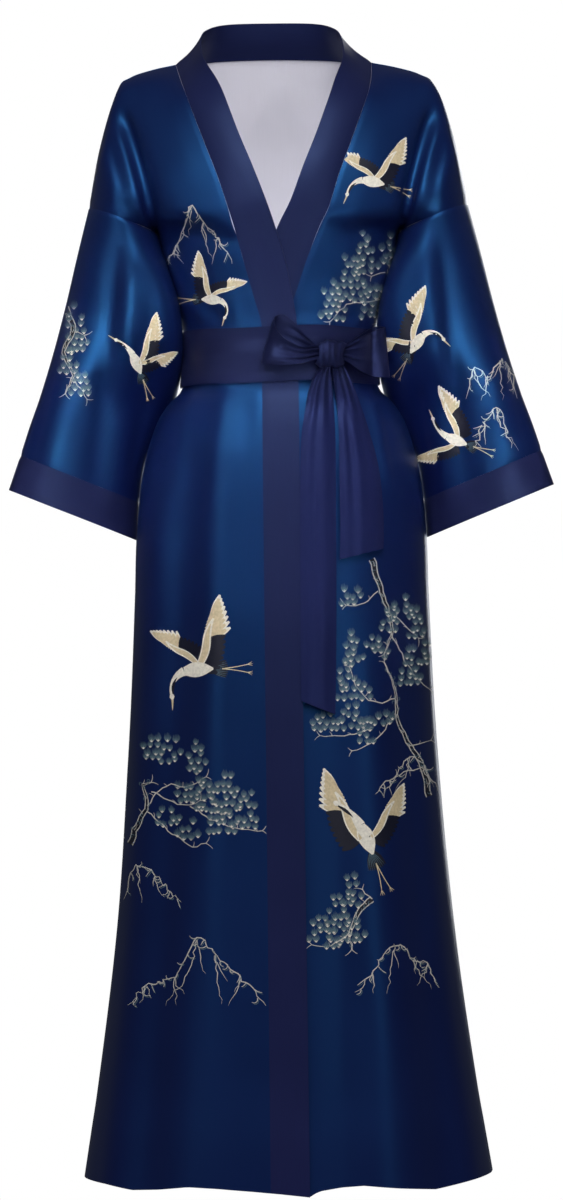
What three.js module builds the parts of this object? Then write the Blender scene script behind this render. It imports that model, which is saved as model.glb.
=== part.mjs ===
// A long satin kimono robe, filled out as worn but with no wearer: a back, two wrapped fronts,
// dropped-shoulder sleeves with cuffs, a neckband from hem to hem, and a sash tied in a bow.
// Millimetres, +Z up. -Y is the front, and +X is the side of the robe's left sleeve.
// The origin is at the centre of the neck, level with the inner ends of the shoulder seams.
import * as THREE from "three";

// Driving dimensions
const CLOTH = 1.3; // wall of a single panel, with its folded edges
const BAND = 1.7; // wall of the neckband, cuffs and sash, which are two layers
const SEAM = 0.4; // space between two pieces that are sewn together
const WRAP = 3.8; // how far the top front is lifted over the under front
const CLEAR = 0.9; // space between the sash and what it lies on
const SQUARENESS = 2.25; // power of the body's rounded sections: 2 is an ellipse
const HEM = -1306;
const ARMPIT = -202;
const BELT_TOP = -317;
const BELT_BOTTOM = -381;
const ARMHOLE = { outer: [222, -173], inner: [143, -202], depth: 72 };

// Body sections from the hem to the armpit: half width, and depth in front and behind
const SECTIONS = [
  { z: HEM, half: 239, front: 172, back: 182 },
  { z: -1250, half: 230, front: 169, back: 179 },
  { z: -1193, half: 221, front: 165, back: 175 },
  { z: -1053, half: 202, front: 156, back: 164 },
  { z: -913, half: 188, front: 147, back: 153 },
  { z: -772, half: 178, front: 138, back: 142 },
  { z: -632, half: 172, front: 129, back: 133 },
  { z: -562, half: 170, front: 124, back: 127 },
  { z: -491, half: 164, front: 117, back: 119 },
  { z: -433, half: 149, front: 108, back: 108 },
  { z: -404, half: 133, front: 101, back: 98 },
  { z: -384, half: 115, front: 95, back: 89 },
  { z: -349, half: 112, front: 94, back: 86 },
  { z: -314, half: 114, front: 95, back: 88 },
  { z: -281, half: 124, front: 102, back: 93 },
  { z: -240, half: 134, front: 111, back: 99 },
  { z: ARMPIT, half: 143, front: 118, back: 104 },
];

// Where the front edges lie below the V of the neck, as signed X
const EDGES = [
  { z: HEM, topSeam: -21, topFree: 24, underSeam: 0, underFree: -43 },
  { z: -384, topSeam: -21, topFree: 21, underSeam: 3, underFree: -42 },
  { z: -314, topSeam: -21, topFree: 20, underSeam: 5, underFree: -41 },
  { z: -281, topSeam: -30, topFree: 15, underSeam: 18, underFree: -29 },
  { z: -240, topSeam: -41, topFree: 7, underSeam: 32, underFree: -15 },
  { z: ARMPIT, topSeam: -51, topFree: -4, underSeam: 47, underFree: -1 },
];

// Front above the armpit, on the +X side. Each row runs from the armhole seam, at an angle
// round it, over the arm's ridge, the crease beside the arm and the chest, to the neckband.
const FRONT_YOKE = [
  { angle: 40, ridge: [148, -56, -191], crease: [142, -68, -187], outer: [128, -89, -184],
    chest: [96, -107, -181], seam: [58, -116, -180] },
  { angle: 75, ridge: [165, -75, -171], crease: [151, -70, -157], outer: [135, -88, -150],
    chest: [105, -102, -145], seam: [71, -109, -140] },
  { angle: 110, ridge: [187, -72, -149], crease: [166, -58, -121], outer: [145, -73, -112],
    chest: [116, -86, -106], seam: [86, -93, -100] },
  { angle: 145, ridge: [203, -48, -116], crease: [181, -36, -78], outer: [156, -48, -66],
    chest: [128, -58, -58], seam: [104, -64, -50] },
  { angle: 165, ridge: [207, -22, -103], crease: [187, -17, -44], outer: [163, -22, -30],
    chest: [136, -26, -24], seam: [111, -31, -25] },
  { angle: 180, ridge: [208, 0, -100], crease: [187, 0, -33.5], outer: [170, 2, -18],
    chest: [143, 5, -9], seam: [115, 8, -3] },
];

// Back above the armpit, on the +X side, from the armhole seam to the centre of the back
const BACK_YOKE = [
  { angle: 40, ridge: [149, 56, -190], crease: [143, 66, -186], outer: [128, 82, -184],
    blade: [108, 93, -183], side: [86, 99, -182], neck: [64, 103, -181],
    middle: [34, 105, -180], centre: [0, 106, -180] },
  { angle: 75, ridge: [166, 73, -169], crease: [154, 70, -154], outer: [136, 81, -147],
    blade: [114, 91, -143], side: [90, 98, -140], neck: [67, 102, -139],
    middle: [36, 105, -138], centre: [0, 106, -138] },
  { angle: 110, ridge: [187, 69, -147], crease: [168, 61, -118], outer: [148, 70, -107],
    blade: [122, 80, -101], side: [96, 89, -97], neck: [72, 95, -94],
    middle: [40, 101, -92], centre: [0, 103, -91] },
  { angle: 145, ridge: [203, 45, -115], crease: [183, 38, -76], outer: [158, 46, -60],
    blade: [132, 54, -51], side: [103, 65, -45], neck: [79, 76, -41],
    middle: [48, 87, -38], centre: [0, 94, -36] },
  { angle: 165, ridge: [207, 21, -103], crease: [187, 18, -44], outer: [163, 23, -28],
    blade: [137, 28, -20], side: [111, 36, -16], neck: [87, 58, -13],
    middle: [57, 76, -11], centre: [0, 89, -9] },
  { angle: 180, ridge: [208, 0, -100], crease: [187, 0, -33.5], outer: [170, 2, -18],
    blade: [143, 5, -9], side: [115, 8, -3], neck: [94, 42, 0],
    middle: [64, 68, 5], centre: [0, 84, 8] },
];

// The neckband's free edge beside each neck row, from the centre back to the V of the neck
const NECKBAND = [
  { seam: [0.3, 84, 8], free: [0.3, 66, 45] },
  { seam: [64, 68, 5], free: [53, 55, 44] },
  { seam: [94, 42, 0], free: [78, 34, 39] },
  { seam: [115, 8, -3], free: [87, 8, 30] },
  { seam: [111, -31, -25], free: [82, -37, 1] },
  { seam: [104, -64, -50], free: [66, -72, -34] },
  { seam: [86, -93, -100], free: [45, -101, -92] },
  { seam: [71, -109, -140], free: [29, -116, -132] },
  { seam: [58, -116, -180], free: [14, -121, -172] },
];

const SHOULDER_ROW = 3; // the neckband's row at the shoulder seam

// Sleeve sections, from the armhole to the end of the cuff, as seen from the front. The inner
// edge lies ahead of the robe's side above the waist, and behind it beside the hip.
const SLEEVE = [
  { ...ARMHOLE, ahead: 0 },
  { outer: [236, -228], inner: [134, -243], depth: 66, ahead: 13 },
  { outer: [250, -285], inner: [120, -292], depth: 60, ahead: 25 },
  { outer: [265, -340], inner: [116, -350], depth: 54, ahead: 8 },
  { outer: [281, -391], inner: [140, -408], depth: 49, ahead: -8 },
  { outer: [294, -427], inner: [158, -462], depth: 44, ahead: -24 },
  { outer: [305, -460], inner: [166.5, -516], depth: 40, ahead: -27 },
  { outer: [319, -500], inner: [170, -560], depth: 37, ahead: -25 },
];
const CUFF_ROW = 6; // the sleeve section that the cuff starts at

// The largest folds: each runs in front or behind from one point to another, as X and Z,
// and stands out by its height, or lies in where that is below zero.
const BODY_FOLDS = [
  { side: -1, from: [-66, -400], to: [-96, -1306], width: 34, height: 5 },
  { side: -1, from: [-104, -430], to: [-166, -1306], width: 26, height: -5 },
  { side: -1, from: [-140, -500], to: [-214, -1306], width: 22, height: 4 },
  { side: -1, from: [96, -700], to: [120, -1306], width: 34, height: 5 },
  { side: -1, from: [62, -640], to: [66, -1306], width: 22, height: -4 },
  { side: -1, from: [128, -470], to: [182, -1306], width: 26, height: -5 },
  { side: -1, from: [-84, -150], to: [-60, -205], width: 34, height: 3 },
  { side: -1, from: [92, -150], to: [66, -205], width: 34, height: 3 },
  { side: 1, from: [-58, -420], to: [-92, -1306], width: 34, height: 6 },
  { side: 1, from: [10, -470], to: [4, -1306], width: 36, height: 5 },
  { side: 1, from: [70, -430], to: [104, -1306], width: 34, height: 6 },
  { side: 1, from: [-110, -440], to: [-172, -1306], width: 28, height: -5 },
  { side: 1, from: [-26, -440], to: [-44, -1306], width: 28, height: -4 },
  { side: 1, from: [40, -440], to: [54, -1306], width: 28, height: -4 },
  { side: 1, from: [116, -440], to: [176, -1306], width: 28, height: -5 },
];
const SLEEVE_FOLDS = [
  { side: -1, from: [184, -180], to: [214, -470], width: 11, height: -4 },
  { side: -1, from: [168, -205], to: [190, -480], width: 12, height: 3 },
  { side: -1, from: [208, -190], to: [262, -450], width: 16, height: 3 },
  { side: 1, from: [186, -180], to: [222, -470], width: 13, height: -4 },
  { side: 1, from: [206, -200], to: [260, -460], width: 18, height: 3 },
];
const FOLD_END = 70; // the length over which a fold rises and dies away

// The bow, on the sash's front. A loop is a strip that leaves the knot in front, turns and
// comes back behind: each row is a place on it, before or behind the loop's middle, and the
// width of the cloth there, as gathered or spread.
const KNOT = { x: 59, z: -349, half: [17.5, 11, 17] };
const LOOP_RIGHT = [
  { x: 41.7, behind: -4, z: -346, width: 15 },
  { x: 22, behind: -9, z: -339, width: 27 },
  { x: 2, behind: -12, z: -332, width: 42 },
  { x: -14, behind: -9, z: -328, width: 49 },
  { x: -22, behind: -1.5, z: -327, width: 50 },
  { x: -14, behind: 5, z: -328, width: 48 },
  { x: 2, behind: 6, z: -332, width: 42 },
  { x: 22, behind: 5, z: -339, width: 28 },
  { x: 41.7, behind: 4, z: -346, width: 16 },
];
const LOOP_LEFT = [
  { x: 77.4, behind: -4, z: -347, width: 16 },
  { x: 91, behind: -9, z: -346, width: 36 },
  { x: 106, behind: -13, z: -344, width: 52 },
  { x: 118, behind: -11, z: -343, width: 58 },
  { x: 126, behind: -4, z: -343, width: 59 },
  { x: 117, behind: 3, z: -343, width: 57 },
  { x: 106, behind: 5, z: -344, width: 52 },
  { x: 91, behind: 5, z: -346, width: 36 },
  { x: 77.4, behind: 4, z: -347, width: 17 },
];
const LOOP_STANDS_OFF = 9.5; // from the sash's face to the loop's middle

// Each row of a tail: its height, and X of its left and right edge
const TAIL_LONG = [
  { z: -366.6, left: 45, right: 58 },
  { z: -387, left: 34, right: 60 },
  { z: -420, left: 27, right: 62 },
  { z: -455, left: 23, right: 63 },
  { z: -520, left: 21, right: 62.5 },
  { z: -600, left: 20.5, right: 62 },
  { z: -680, left: 20, right: 61 },
  { z: -748, left: 20, right: 59 },
];
const TAIL_SHORT = [
  { z: -366.6, left: 61, right: 77 },
  { z: -397, left: 64, right: 89 },
  { z: -431, left: 66.5, right: 100 },
  { z: -477, left: 67, right: 112 },
  { z: -523, left: 67, right: 117 },
  { z: -560, left: 67, right: 117.5 },
  { z: -586, left: 66, right: 117 },
];
const LONG_END_SLANT = 16; // how much lower the long tail's right corner hangs
const SHORT_END_SLANT = -12;

const COLOURS = {
  print: 0x14346a,
  band: 0x252f59,
  sash: 0x1f2550,
};

function ramp(value, from, to) {
  const share = THREE.MathUtils.clamp((value - from) / (to - from), 0, 1);
  return share * share * (3 - 2 * share);
}

// A Catmull-Rom curve through equally spaced values, which may have one sharp corner
function along(values, at, corner = -1) {
  const last = values.length - 1;
  const start = Math.min(Math.floor(at), last - 1);
  const share = at - start;
  const near = values[start];
  const far = values[start + 1];
  const step = far.clone().sub(near);
  const before = start === 0 || start === corner ? near.clone().sub(step) : values[start - 1];
  const open = start + 1 === last || start + 1 === corner;
  const after = open ? far.clone().add(step) : values[start + 2];
  const leave = far.clone().sub(before).multiplyScalar(0.5);
  const arrive = after.clone().sub(near).multiplyScalar(0.5);
  const curve = near.clone().multiplyScalar(2 * share ** 3 - 3 * share ** 2 + 1);
  curve.addScaledVector(leave, share ** 3 - 2 * share ** 2 + share);
  curve.addScaledVector(far, 3 * share ** 2 - 2 * share ** 3);
  return curve.addScaledVector(arrive, share ** 3 - share ** 2);
}

// The value in a table's named column at a height, on straight lines between its rows
function atHeight(table, z, name) {
  const above = table.findIndex((row) => row.z >= z);
  if (above <= 0) return above === 0 ? table[0][name] : table[table.length - 1][name];
  const low = table[above - 1];
  const high = table[above];
  return THREE.MathUtils.mapLinear(z, low.z, high.z, low[name], high[name]);
}

// A body section's point: 0 degrees is the centre front, 90 the +X side, 180 the centre back
function bodyPoint(section, degrees) {
  const angle = THREE.MathUtils.degToRad(degrees);
  const across = Math.sin(angle);
  const ahead = Math.cos(angle);
  const depth = ahead > 0 ? -section.front : section.back;
  const x = section.half * Math.sign(across) * Math.abs(across) ** (2 / SQUARENESS);
  const y = depth * Math.abs(ahead) ** (2 / SQUARENESS);
  return new THREE.Vector3(x, y, section.z);
}

// The angle at which a body section's front passes a given X
function angleAt(section, x) {
  const share = Math.abs(x) / section.half;
  return Math.sign(x) * THREE.MathUtils.radToDeg(Math.asin(share ** (SQUARENESS / 2)));
}

function sectionAt(z) {
  const columns = ["half", "front", "back"].map((name) => [name, atHeight(SECTIONS, z, name)]);
  return { z, ...Object.fromEntries(columns) };
}

// How far the body's folds stand out at a point of the front or the back
function relief(folds, x, z, side) {
  let height = 0;
  for (const fold of folds.filter((each) => each.side === side)) {
    const share = (z - fold.from[1]) / (fold.to[1] - fold.from[1]);
    const centre = THREE.MathUtils.lerp(fold.from[0], fold.to[0], share);
    const length = Math.abs(fold.to[1] - fold.from[1]);
    const ends = ramp(share * length, 0, FOLD_END);
    const past = 1 - ramp((share - 1) * length, 0, FOLD_END);
    height += fold.height * ends * past * Math.exp(-(((x - centre) / fold.width) ** 2));
  }
  return height;
}

// The top front lies further out than the under front wherever the two overlap
function topLift(x, z) {
  return WRAP * ramp(x, -104, -64) * ramp(z, -120, -185);
}

function sashLift(x) {
  return WRAP * ramp(x, -112, -78) * (1 - ramp(x, 32, 84)) + CLEAR;
}

// Y of the robe's front, with its folds, at a given X and Z
function frontY(x, z) {
  const section = sectionAt(z);
  const point = bodyPoint(section, angleAt(section, x));
  return point.y - relief(BODY_FOLDS, x, z, -1);
}

function armholePoint(angle, side) {
  const turn = THREE.MathUtils.degToRad(angle);
  const [outerX, outerZ] = ARMHOLE.outer;
  const [innerX, innerZ] = ARMHOLE.inner;
  const share = (1 - Math.cos(turn)) / 2;
  const x = THREE.MathUtils.lerp(innerX, outerX, share);
  const z = THREE.MathUtils.lerp(innerZ, outerZ, share);
  return new THREE.Vector3(x, side * ARMHOLE.depth * Math.sin(turn), z);
}

const mirrored = (point) => new THREE.Vector3(-point.x, point.y, point.z);

// Control rows of a front, from the hem up, each from the armhole side to the neckband seam
function frontRows(top) {
  const sign = top ? -1 : 1;
  const shares = [0, 0.15, 0.33, 0.52, 0.75, 1];
  const rows = SECTIONS.map((section) => {
    const seam = atHeight(EDGES, section.z, top ? "topSeam" : "underSeam");
    const end = angleAt(section, seam);
    return shares.map((share) => bodyPoint(section, THREE.MathUtils.lerp(sign * 90, end, share)));
  });
  for (const row of FRONT_YOKE) {
    const named = [row.ridge, row.crease, row.outer, row.chest, row.seam];
    const points = named.map((place) => new THREE.Vector3(...place));
    points.unshift(armholePoint(row.angle, -1));
    rows.push(top ? points.map(mirrored) : points);
  }
  return rows;
}

// Control rows of the back, from the hem up, each from the -X armhole side to the +X one
function backRows() {
  const shares = [0, 0.13, 0.27, 0.4, 0.51, 0.62, 0.74, 0.87, 1];
  const halves = SECTIONS.map((section) =>
    shares.map((share) => bodyPoint(section, 90 + 90 * share)),
  );
  for (const row of BACK_YOKE) {
    const { ridge, crease, outer, blade, side, neck, middle, centre } = row;
    const named = [ridge, crease, outer, blade, side, neck, middle, centre];
    halves.push([armholePoint(row.angle, 1), ...named.map((place) => new THREE.Vector3(...place))]);
  }
  for (const half of halves) half[half.length - 1].x = 0;
  return halves.map((half) => [...half.map(mirrored), ...half.slice(0, -1).reverse()]);
}

// A grid of points on the smooth surface through control rows, at given steps both ways
function smoothGrid(rows, rowStops, columnStops, corner = -1) {
  const mirrorCorner = rows[0].length - 1 - corner;
  const grid = rowStops.map(() => []);
  for (const column of columnStops) {
    const nearest = column > rows[0].length / 2 ? mirrorCorner : corner;
    const line = rows.map((row) => along(row, column, corner < 0 ? -1 : nearest));
    rowStops.forEach((stop, index) => grid[index].push(along(line, stop)));
  }
  return grid;
}

function stops(count, step) {
  const steps = Math.round(count / step);
  return Array.from({ length: steps + 1 }, (_, index) => index * step);
}

// The way that a grid faces at each point: out, when its rows go up and run to the right
function normalsOf(grid, closed) {
  return grid.map((row, down) =>
    row.map((point, across) => {
      const count = row.length;
      const inside = (index) => THREE.MathUtils.clamp(index, 0, count - 1);
      const wrap = (index) => (closed ? (index + count) % count : inside(index));
      const acrossWay = row[wrap(across + 1)].clone().sub(row[wrap(across - 1)]);
      const above = grid[Math.min(down + 1, grid.length - 1)][across];
      const below = grid[Math.max(down - 1, 0)][across];
      return acrossWay.cross(above.clone().sub(below)).normalize();
    }),
  );
}

function pushed(grid, closed, distance, mitred = false) {
  const normals = normalsOf(grid, closed);
  if (mitred) normals[grid.length - 1].forEach((way) => way.setY(0).normalize());
  return grid.map((row, down) =>
    row.map((point, across) => {
      const way = normals[down][across];
      return point.clone().addScaledVector(way, distance(point, way));
    }),
  );
}

// Draws a grid's edges in by half a seam's space
function trimmed(grid, closed) {
  const pull = (from, to) => from.addScaledVector(to.clone().sub(from).normalize(), SEAM / 2);
  const last = grid.length - 1;
  grid[0].forEach((point, across) => pull(point, grid[1][across]));
  grid[last].forEach((point, across) => pull(point, grid[last - 1][across]));
  if (!closed) {
    for (const row of grid) {
      pull(row[0], row[1]);
      pull(row[row.length - 1], row[row.length - 2]);
    }
  }
  return grid;
}

// A closed wall: the grid is its outer side, and the inner side lies in by the thickness.
// A mitred wall ends square to Y at its last row, as the shoulder seam needs.
function wall(grid, thickness, closed = false, mitred = false) {
  const inner = pushed(grid, closed, () => -thickness, mitred);
  const rows = grid.length;
  const columns = grid[0].length;
  const spans = closed ? columns : columns - 1;
  const points = [...grid.flat(), ...inner.flat()];
  const faces = [];
  const outerAt = (down, across) => down * columns + (across % columns);
  const innerAt = (down, across) => rows * columns + outerAt(down, across);
  const quad = (a, b, c, d) => faces.push(a, b, c, a, c, d);
  for (let down = 0; down < rows - 1; down += 1) {
    for (let across = 0; across < spans; across += 1) {
      const corners = [[down, across], [down, across + 1], [down + 1, across + 1], [down + 1, across]];
      quad(...corners.map(([d, a]) => outerAt(d, a)));
      quad(...corners.reverse().map(([d, a]) => innerAt(d, a)));
    }
  }
  for (let across = 0; across < spans; across += 1) {
    quad(innerAt(0, across), innerAt(0, across + 1), outerAt(0, across + 1), outerAt(0, across));
    const end = rows - 1;
    quad(outerAt(end, across), outerAt(end, across + 1), innerAt(end, across + 1), innerAt(end, across));
  }
  if (!closed) {
    const end = columns - 1;
    for (let down = 0; down < rows - 1; down += 1) {
      quad(outerAt(down, 0), outerAt(down + 1, 0), innerAt(down + 1, 0), innerAt(down, 0));
      quad(innerAt(down, end), innerAt(down + 1, end), outerAt(down + 1, end), outerAt(down, end));
    }
  }
  const geometry = new THREE.BufferGeometry().setFromPoints(points);
  geometry.setIndex(faces);
  return geometry;
}

// Turns a grid round when it is walked the other way, so that it still faces out
const reversed = (grid) => grid.map((row) => [...row].reverse());

const rowSteps = (count) => [
  ...stops(SECTIONS.length - 1, 1),
  ...stops(2 * count, 1).slice(1).map((step) => SECTIONS.length - 1 + step / 2),
];

function frontPanel(top) {
  const rows = frontRows(top);
  const flat = smoothGrid(rows, rowSteps(FRONT_YOKE.length), stops(5, 0.5));
  const facing = top ? flat : reversed(flat);
  for (const point of top ? facing.flat() : []) point.y -= topLift(point.x, point.z);
  const folded = pushed(facing, false, (point) => relief(BODY_FOLDS, point.x, point.z, -1));
  return wall(trimmed(folded, false), CLOTH, false, true);
}

function backPanel() {
  const sideColumn = 5;
  const flat = smoothGrid(backRows(), rowSteps(BACK_YOKE.length), stops(16, 0.5), sideColumn);
  const folded = pushed(reversed(flat), false, (point) => relief(BODY_FOLDS, point.x, point.z, 1));
  return wall(trimmed(folded, false), CLOTH, false, true);
}

// The neckband's seam and free edge at each row, from the centre back down to the hem
function neckbandRows(top) {
  const sign = top ? -1 : 1;
  const rows = NECKBAND.map(({ seam, free }) =>
    [seam, free].map(([x, y, z]) => new THREE.Vector3(sign * x, y, z)),
  );
  for (const section of [...SECTIONS].reverse()) {
    const columns = top ? ["topSeam", "topFree"] : ["underSeam", "underFree"];
    rows.push(
      columns.map((name) => bodyPoint(section, angleAt(section, atHeight(EDGES, section.z, name)))),
    );
  }
  return rows;
}

function neckband(top) {
  const rows = neckbandRows(top);
  const shares = [0, 1 / 3, 2 / 3, 1];
  const rounding = 2.5; // how far the band's middle bulges out
  const neckStops = stops(NECKBAND.length, 0.5);
  const skirtStops = stops(SECTIONS.length - 1, 1).map((stop) => NECKBAND.length + stop);
  const grid = [...neckStops, ...skirtStops.slice(1)].map((stop) => {
    const corners = [SHOULDER_ROW, -1]; // only the seam turns sharply at the shoulder
    const edges = corners.map((corner, index) => along(rows.map((row) => row[index]), stop, corner));
    return shares.map((share) => edges[0].clone().lerp(edges[1], share));
  });
  const facing = top ? grid.reverse() : reversed(grid.reverse());
  for (const point of top ? facing.flat() : []) point.y -= topLift(point.x, point.z);
  const count = shares.length - 1;
  const shaped = normalsOf(facing, false).map((row, down) =>
    row.map((way, across) => {
      const point = facing[down][across];
      const crown = rounding * Math.sin((Math.PI * across) / count) * ramp(point.z, -240, -120);
      const fold = point.y < 0 ? relief(BODY_FOLDS, point.x, point.z, -1) : 0;
      return point.clone().addScaledVector(way, crown + fold);
    }),
  );
  return wall(trimmed(shaped, false), BAND);
}

// A sleeve's rings between two of its rows, starting at the outer edge and passing the front
function sleeveGrid(side, first, last, step) {
  const sections = SLEEVE.map((row) => [
    new THREE.Vector3(row.outer[0], 0, row.outer[1]),
    new THREE.Vector3(row.inner[0], 0, row.inner[1]),
    new THREE.Vector3(row.depth, row.ahead, 0),
  ]);
  const sides = 22;
  const grid = stops(last - first, step).map((offset) => {
    const [outer, inner, bulk] = [0, 1, 2].map((part) =>
      along(sections.map((row) => row[part]), first + offset),
    );
    return Array.from({ length: sides }, (_, index) => {
      const turn = (2 * Math.PI * index) / sides;
      const share = (1 + Math.cos(turn)) / 2;
      const point = inner.clone().lerp(outer, share);
      point.y = -bulk.x * Math.sin(turn) - bulk.y * (1 - share) ** 2;
      return side < 0 ? mirrored(point) : point;
    });
  });
  const facing = side < 0 ? grid : reversed(grid);
  const upward = facing.reverse();
  return pushed(upward, true, (point, way) => {
    const face = Math.sign(point.y) || -1;
    return Math.abs(way.y) * relief(SLEEVE_FOLDS, Math.abs(point.x), point.z, face);
  });
}

function sleeve(side) {
  return wall(trimmed(sleeveGrid(side, 0, CUFF_ROW, 0.5), true), CLOTH, true);
}

function cuff(side) {
  return wall(trimmed(sleeveGrid(side, CUFF_ROW, SLEEVE.length - 1, 0.5), true), BAND, true);
}

function beltWrap() {
  const sides = 44;
  const levels = [BELT_BOTTOM, (BELT_BOTTOM + BELT_TOP) / 2, BELT_TOP];
  const grid = levels.map((z) =>
    Array.from({ length: sides }, (_, index) => bodyPoint(sectionAt(z), (360 * index) / sides)),
  );
  const lifted = pushed(grid, true, (point) => {
    const ahead = ramp(-point.y, -10, 40);
    return THREE.MathUtils.lerp(CLEAR, sashLift(point.x), ahead) + BAND;
  });
  return wall(lifted, BAND, true);
}

// The Y of the sash's outer face in front, which runs straight on past its side
function sashY(x) {
  const waist = sectionAt(KNOT.z);
  const half = waist.half + CLEAR + BAND;
  const outer = { half, front: waist.front + WRAP + CLEAR + BAND, back: waist.back, z: KNOT.z };
  return bodyPoint(outer, angleAt(outer, Math.min(x, half - 8))).y;
}

// A loop of the bow: a strip through its places, bent round the body as the sash is
function bowLoop(loop) {
  const places = loop.map(({ x, behind, z }) => {
    const y = sashY(x) - LOOP_STANDS_OFF + behind;
    return new THREE.Vector3(x, y, z);
  });
  const widths = loop.map(({ width }) => new THREE.Vector3(width, 0, 0));
  const shares = [-0.5, -0.25, 0, 0.25, 0.5];
  const grid = stops(loop.length - 1, 0.5).map((stop) => {
    const centre = along(places, stop);
    const width = along(widths, stop).x;
    return shares.map((share) => centre.clone().setZ(centre.z + share * width));
  });
  return wall(loop[0].x < KNOT.x ? grid : reversed(grid), BAND);
}

// A tail of the sash, which hangs over the skirt with a soft lengthwise roll
function bowTail(rows, slant) {
  const shares = [0, 0.25, 0.5, 0.75, 1];
  const roll = 3;
  const last = rows.length - 1;
  const edges = rows.map((row) => new THREE.Vector3(row.left, row.right, row.z));
  const grid = stops(last, 0.5).map((stop) => {
    const edge = along(edges, stop);
    const end = ramp(stop, last - 1.5, last);
    return shares.map((share) => {
      const x = THREE.MathUtils.lerp(edge.x, edge.y, share);
      const z = edge.z - slant * share * end;
      const lift = WRAP + CLEAR + BAND + roll * Math.sin(Math.PI * share);
      const overSash = ramp(z, BELT_BOTTOM - 26, BELT_BOTTOM) * (CLEAR + BAND + 5);
      return new THREE.Vector3(x, frontY(x, z) - lift - overSash, z);
    });
  });
  return wall(grid.reverse(), BAND);
}

// The knot: a soft rounded block, pinched a little at its middle
function bowKnot() {
  const rings = 10;
  const sides = 18;
  const softness = 0.75;
  const round = (value) => Math.sign(value) * Math.abs(value) ** softness;
  const place = (x, y, z) => {
    const seat = sashY(KNOT.x + x) - KNOT.half[1] - CLEAR / 2;
    return new THREE.Vector3(KNOT.x + x, seat + y, KNOT.z + z);
  };
  const points = [];
  for (let ring = 1; ring < rings; ring += 1) {
    const tilt = (Math.PI * ring) / rings;
    for (let index = 0; index < sides; index += 1) {
      const turn = (2 * Math.PI * index) / sides;
      const x = KNOT.half[0] * round(Math.cos(turn)) * round(Math.sin(tilt));
      const y = KNOT.half[1] * round(Math.sin(turn)) * round(Math.sin(tilt));
      points.push(place(x, y, KNOT.half[2] * round(Math.cos(tilt))));
    }
  }
  const top = points.push(place(0, 0, KNOT.half[2])) - 1;
  const bottom = points.push(place(0, 0, -KNOT.half[2])) - 1;
  const faces = [];
  const at = (ring, index) => ring * sides + (index % sides);
  for (let index = 0; index < sides; index += 1) {
    faces.push(top, at(0, index), at(0, index + 1));
    faces.push(bottom, at(rings - 2, index + 1), at(rings - 2, index));
    for (let ring = 0; ring < rings - 2; ring += 1) {
      faces.push(at(ring, index), at(ring + 1, index), at(ring + 1, index + 1));
      faces.push(at(ring, index), at(ring + 1, index + 1), at(ring, index + 1));
    }
  }
  const geometry = new THREE.BufferGeometry().setFromPoints(points);
  geometry.setIndex(faces);
  return geometry;
}

const robe = new THREE.Group();

function add(name, colour, geometry) {
  geometry.computeVertexNormals();
  const material = new THREE.MeshStandardMaterial({ color: colour, roughness: 0.4, metalness: 0 });
  const mesh = new THREE.Mesh(geometry, material);
  mesh.name = name;
  robe.add(mesh);
}

add("back", COLOURS.print, backPanel());
add("front_right", COLOURS.print, frontPanel(true));
add("front_left", COLOURS.print, frontPanel(false));
add("sleeve_right", COLOURS.print, sleeve(-1));
add("sleeve_left", COLOURS.print, sleeve(1));
add("cuff_right", COLOURS.band, cuff(-1));
add("cuff_left", COLOURS.band, cuff(1));
add("neckband_right", COLOURS.band, neckband(true));
add("neckband_left", COLOURS.band, neckband(false));
add("belt_wrap", COLOURS.sash, beltWrap());
add("bow_knot", COLOURS.sash, bowKnot());
add("bow_loop_right", COLOURS.sash, bowLoop(LOOP_RIGHT));
add("bow_loop_left", COLOURS.sash, bowLoop(LOOP_LEFT));
add("bow_tail_long", COLOURS.sash, bowTail(TAIL_LONG, LONG_END_SLANT));
add("bow_tail_short", COLOURS.sash, bowTail(TAIL_SHORT, SHORT_END_SLANT));

export default robe;
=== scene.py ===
"""A long satin kimono robe, filled out as worn with no wearer, dressed for looks.

Cloth sheets are worked out in millimetres by the rules that shape the solids, with finer creases.
"""

import math
from collections import namedtuple

import bpy
import numpy as np
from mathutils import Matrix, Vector
from mathutils.bvhtree import BVHTree


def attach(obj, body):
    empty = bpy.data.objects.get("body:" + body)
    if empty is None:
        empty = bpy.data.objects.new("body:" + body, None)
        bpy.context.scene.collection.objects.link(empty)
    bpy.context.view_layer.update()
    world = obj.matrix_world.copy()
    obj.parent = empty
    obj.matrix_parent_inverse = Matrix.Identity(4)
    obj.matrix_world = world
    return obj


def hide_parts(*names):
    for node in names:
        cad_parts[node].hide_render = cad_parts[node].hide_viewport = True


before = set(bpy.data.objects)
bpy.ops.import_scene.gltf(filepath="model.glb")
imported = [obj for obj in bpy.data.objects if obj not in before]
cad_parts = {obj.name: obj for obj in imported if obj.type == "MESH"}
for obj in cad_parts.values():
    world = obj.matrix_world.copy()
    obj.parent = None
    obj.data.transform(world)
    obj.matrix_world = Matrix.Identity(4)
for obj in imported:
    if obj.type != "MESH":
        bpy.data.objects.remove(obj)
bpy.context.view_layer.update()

# Driving dimensions, in millimetres
MM = 0.001  # in metres
FINE = 6.0  # spacing of a panel's points
CLOTH = 0.8  # what shows of a single panel's folded edge
BAND = 1.5  # neckband, cuffs and sash, in two layers
WRAP = 3.8  # how far the top front is lifted over the under front
CLEAR = 0.9  # space between the sash and what it lies on
SQUARENESS = 2.25  # of the body's sections, where 2 is an ellipse
HEM = -1306.0
ARMPIT = -202.0
BELT_TOP = -317.0
BELT_BOTTOM = -381.0
FOLD_END = 70.0  # the length over which a large fold rises
SEAM_DIP = 0.9  # how deep the cloth turns in at a seam
SEAM_ROLL = 3.2  # how wide that turn is
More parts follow.
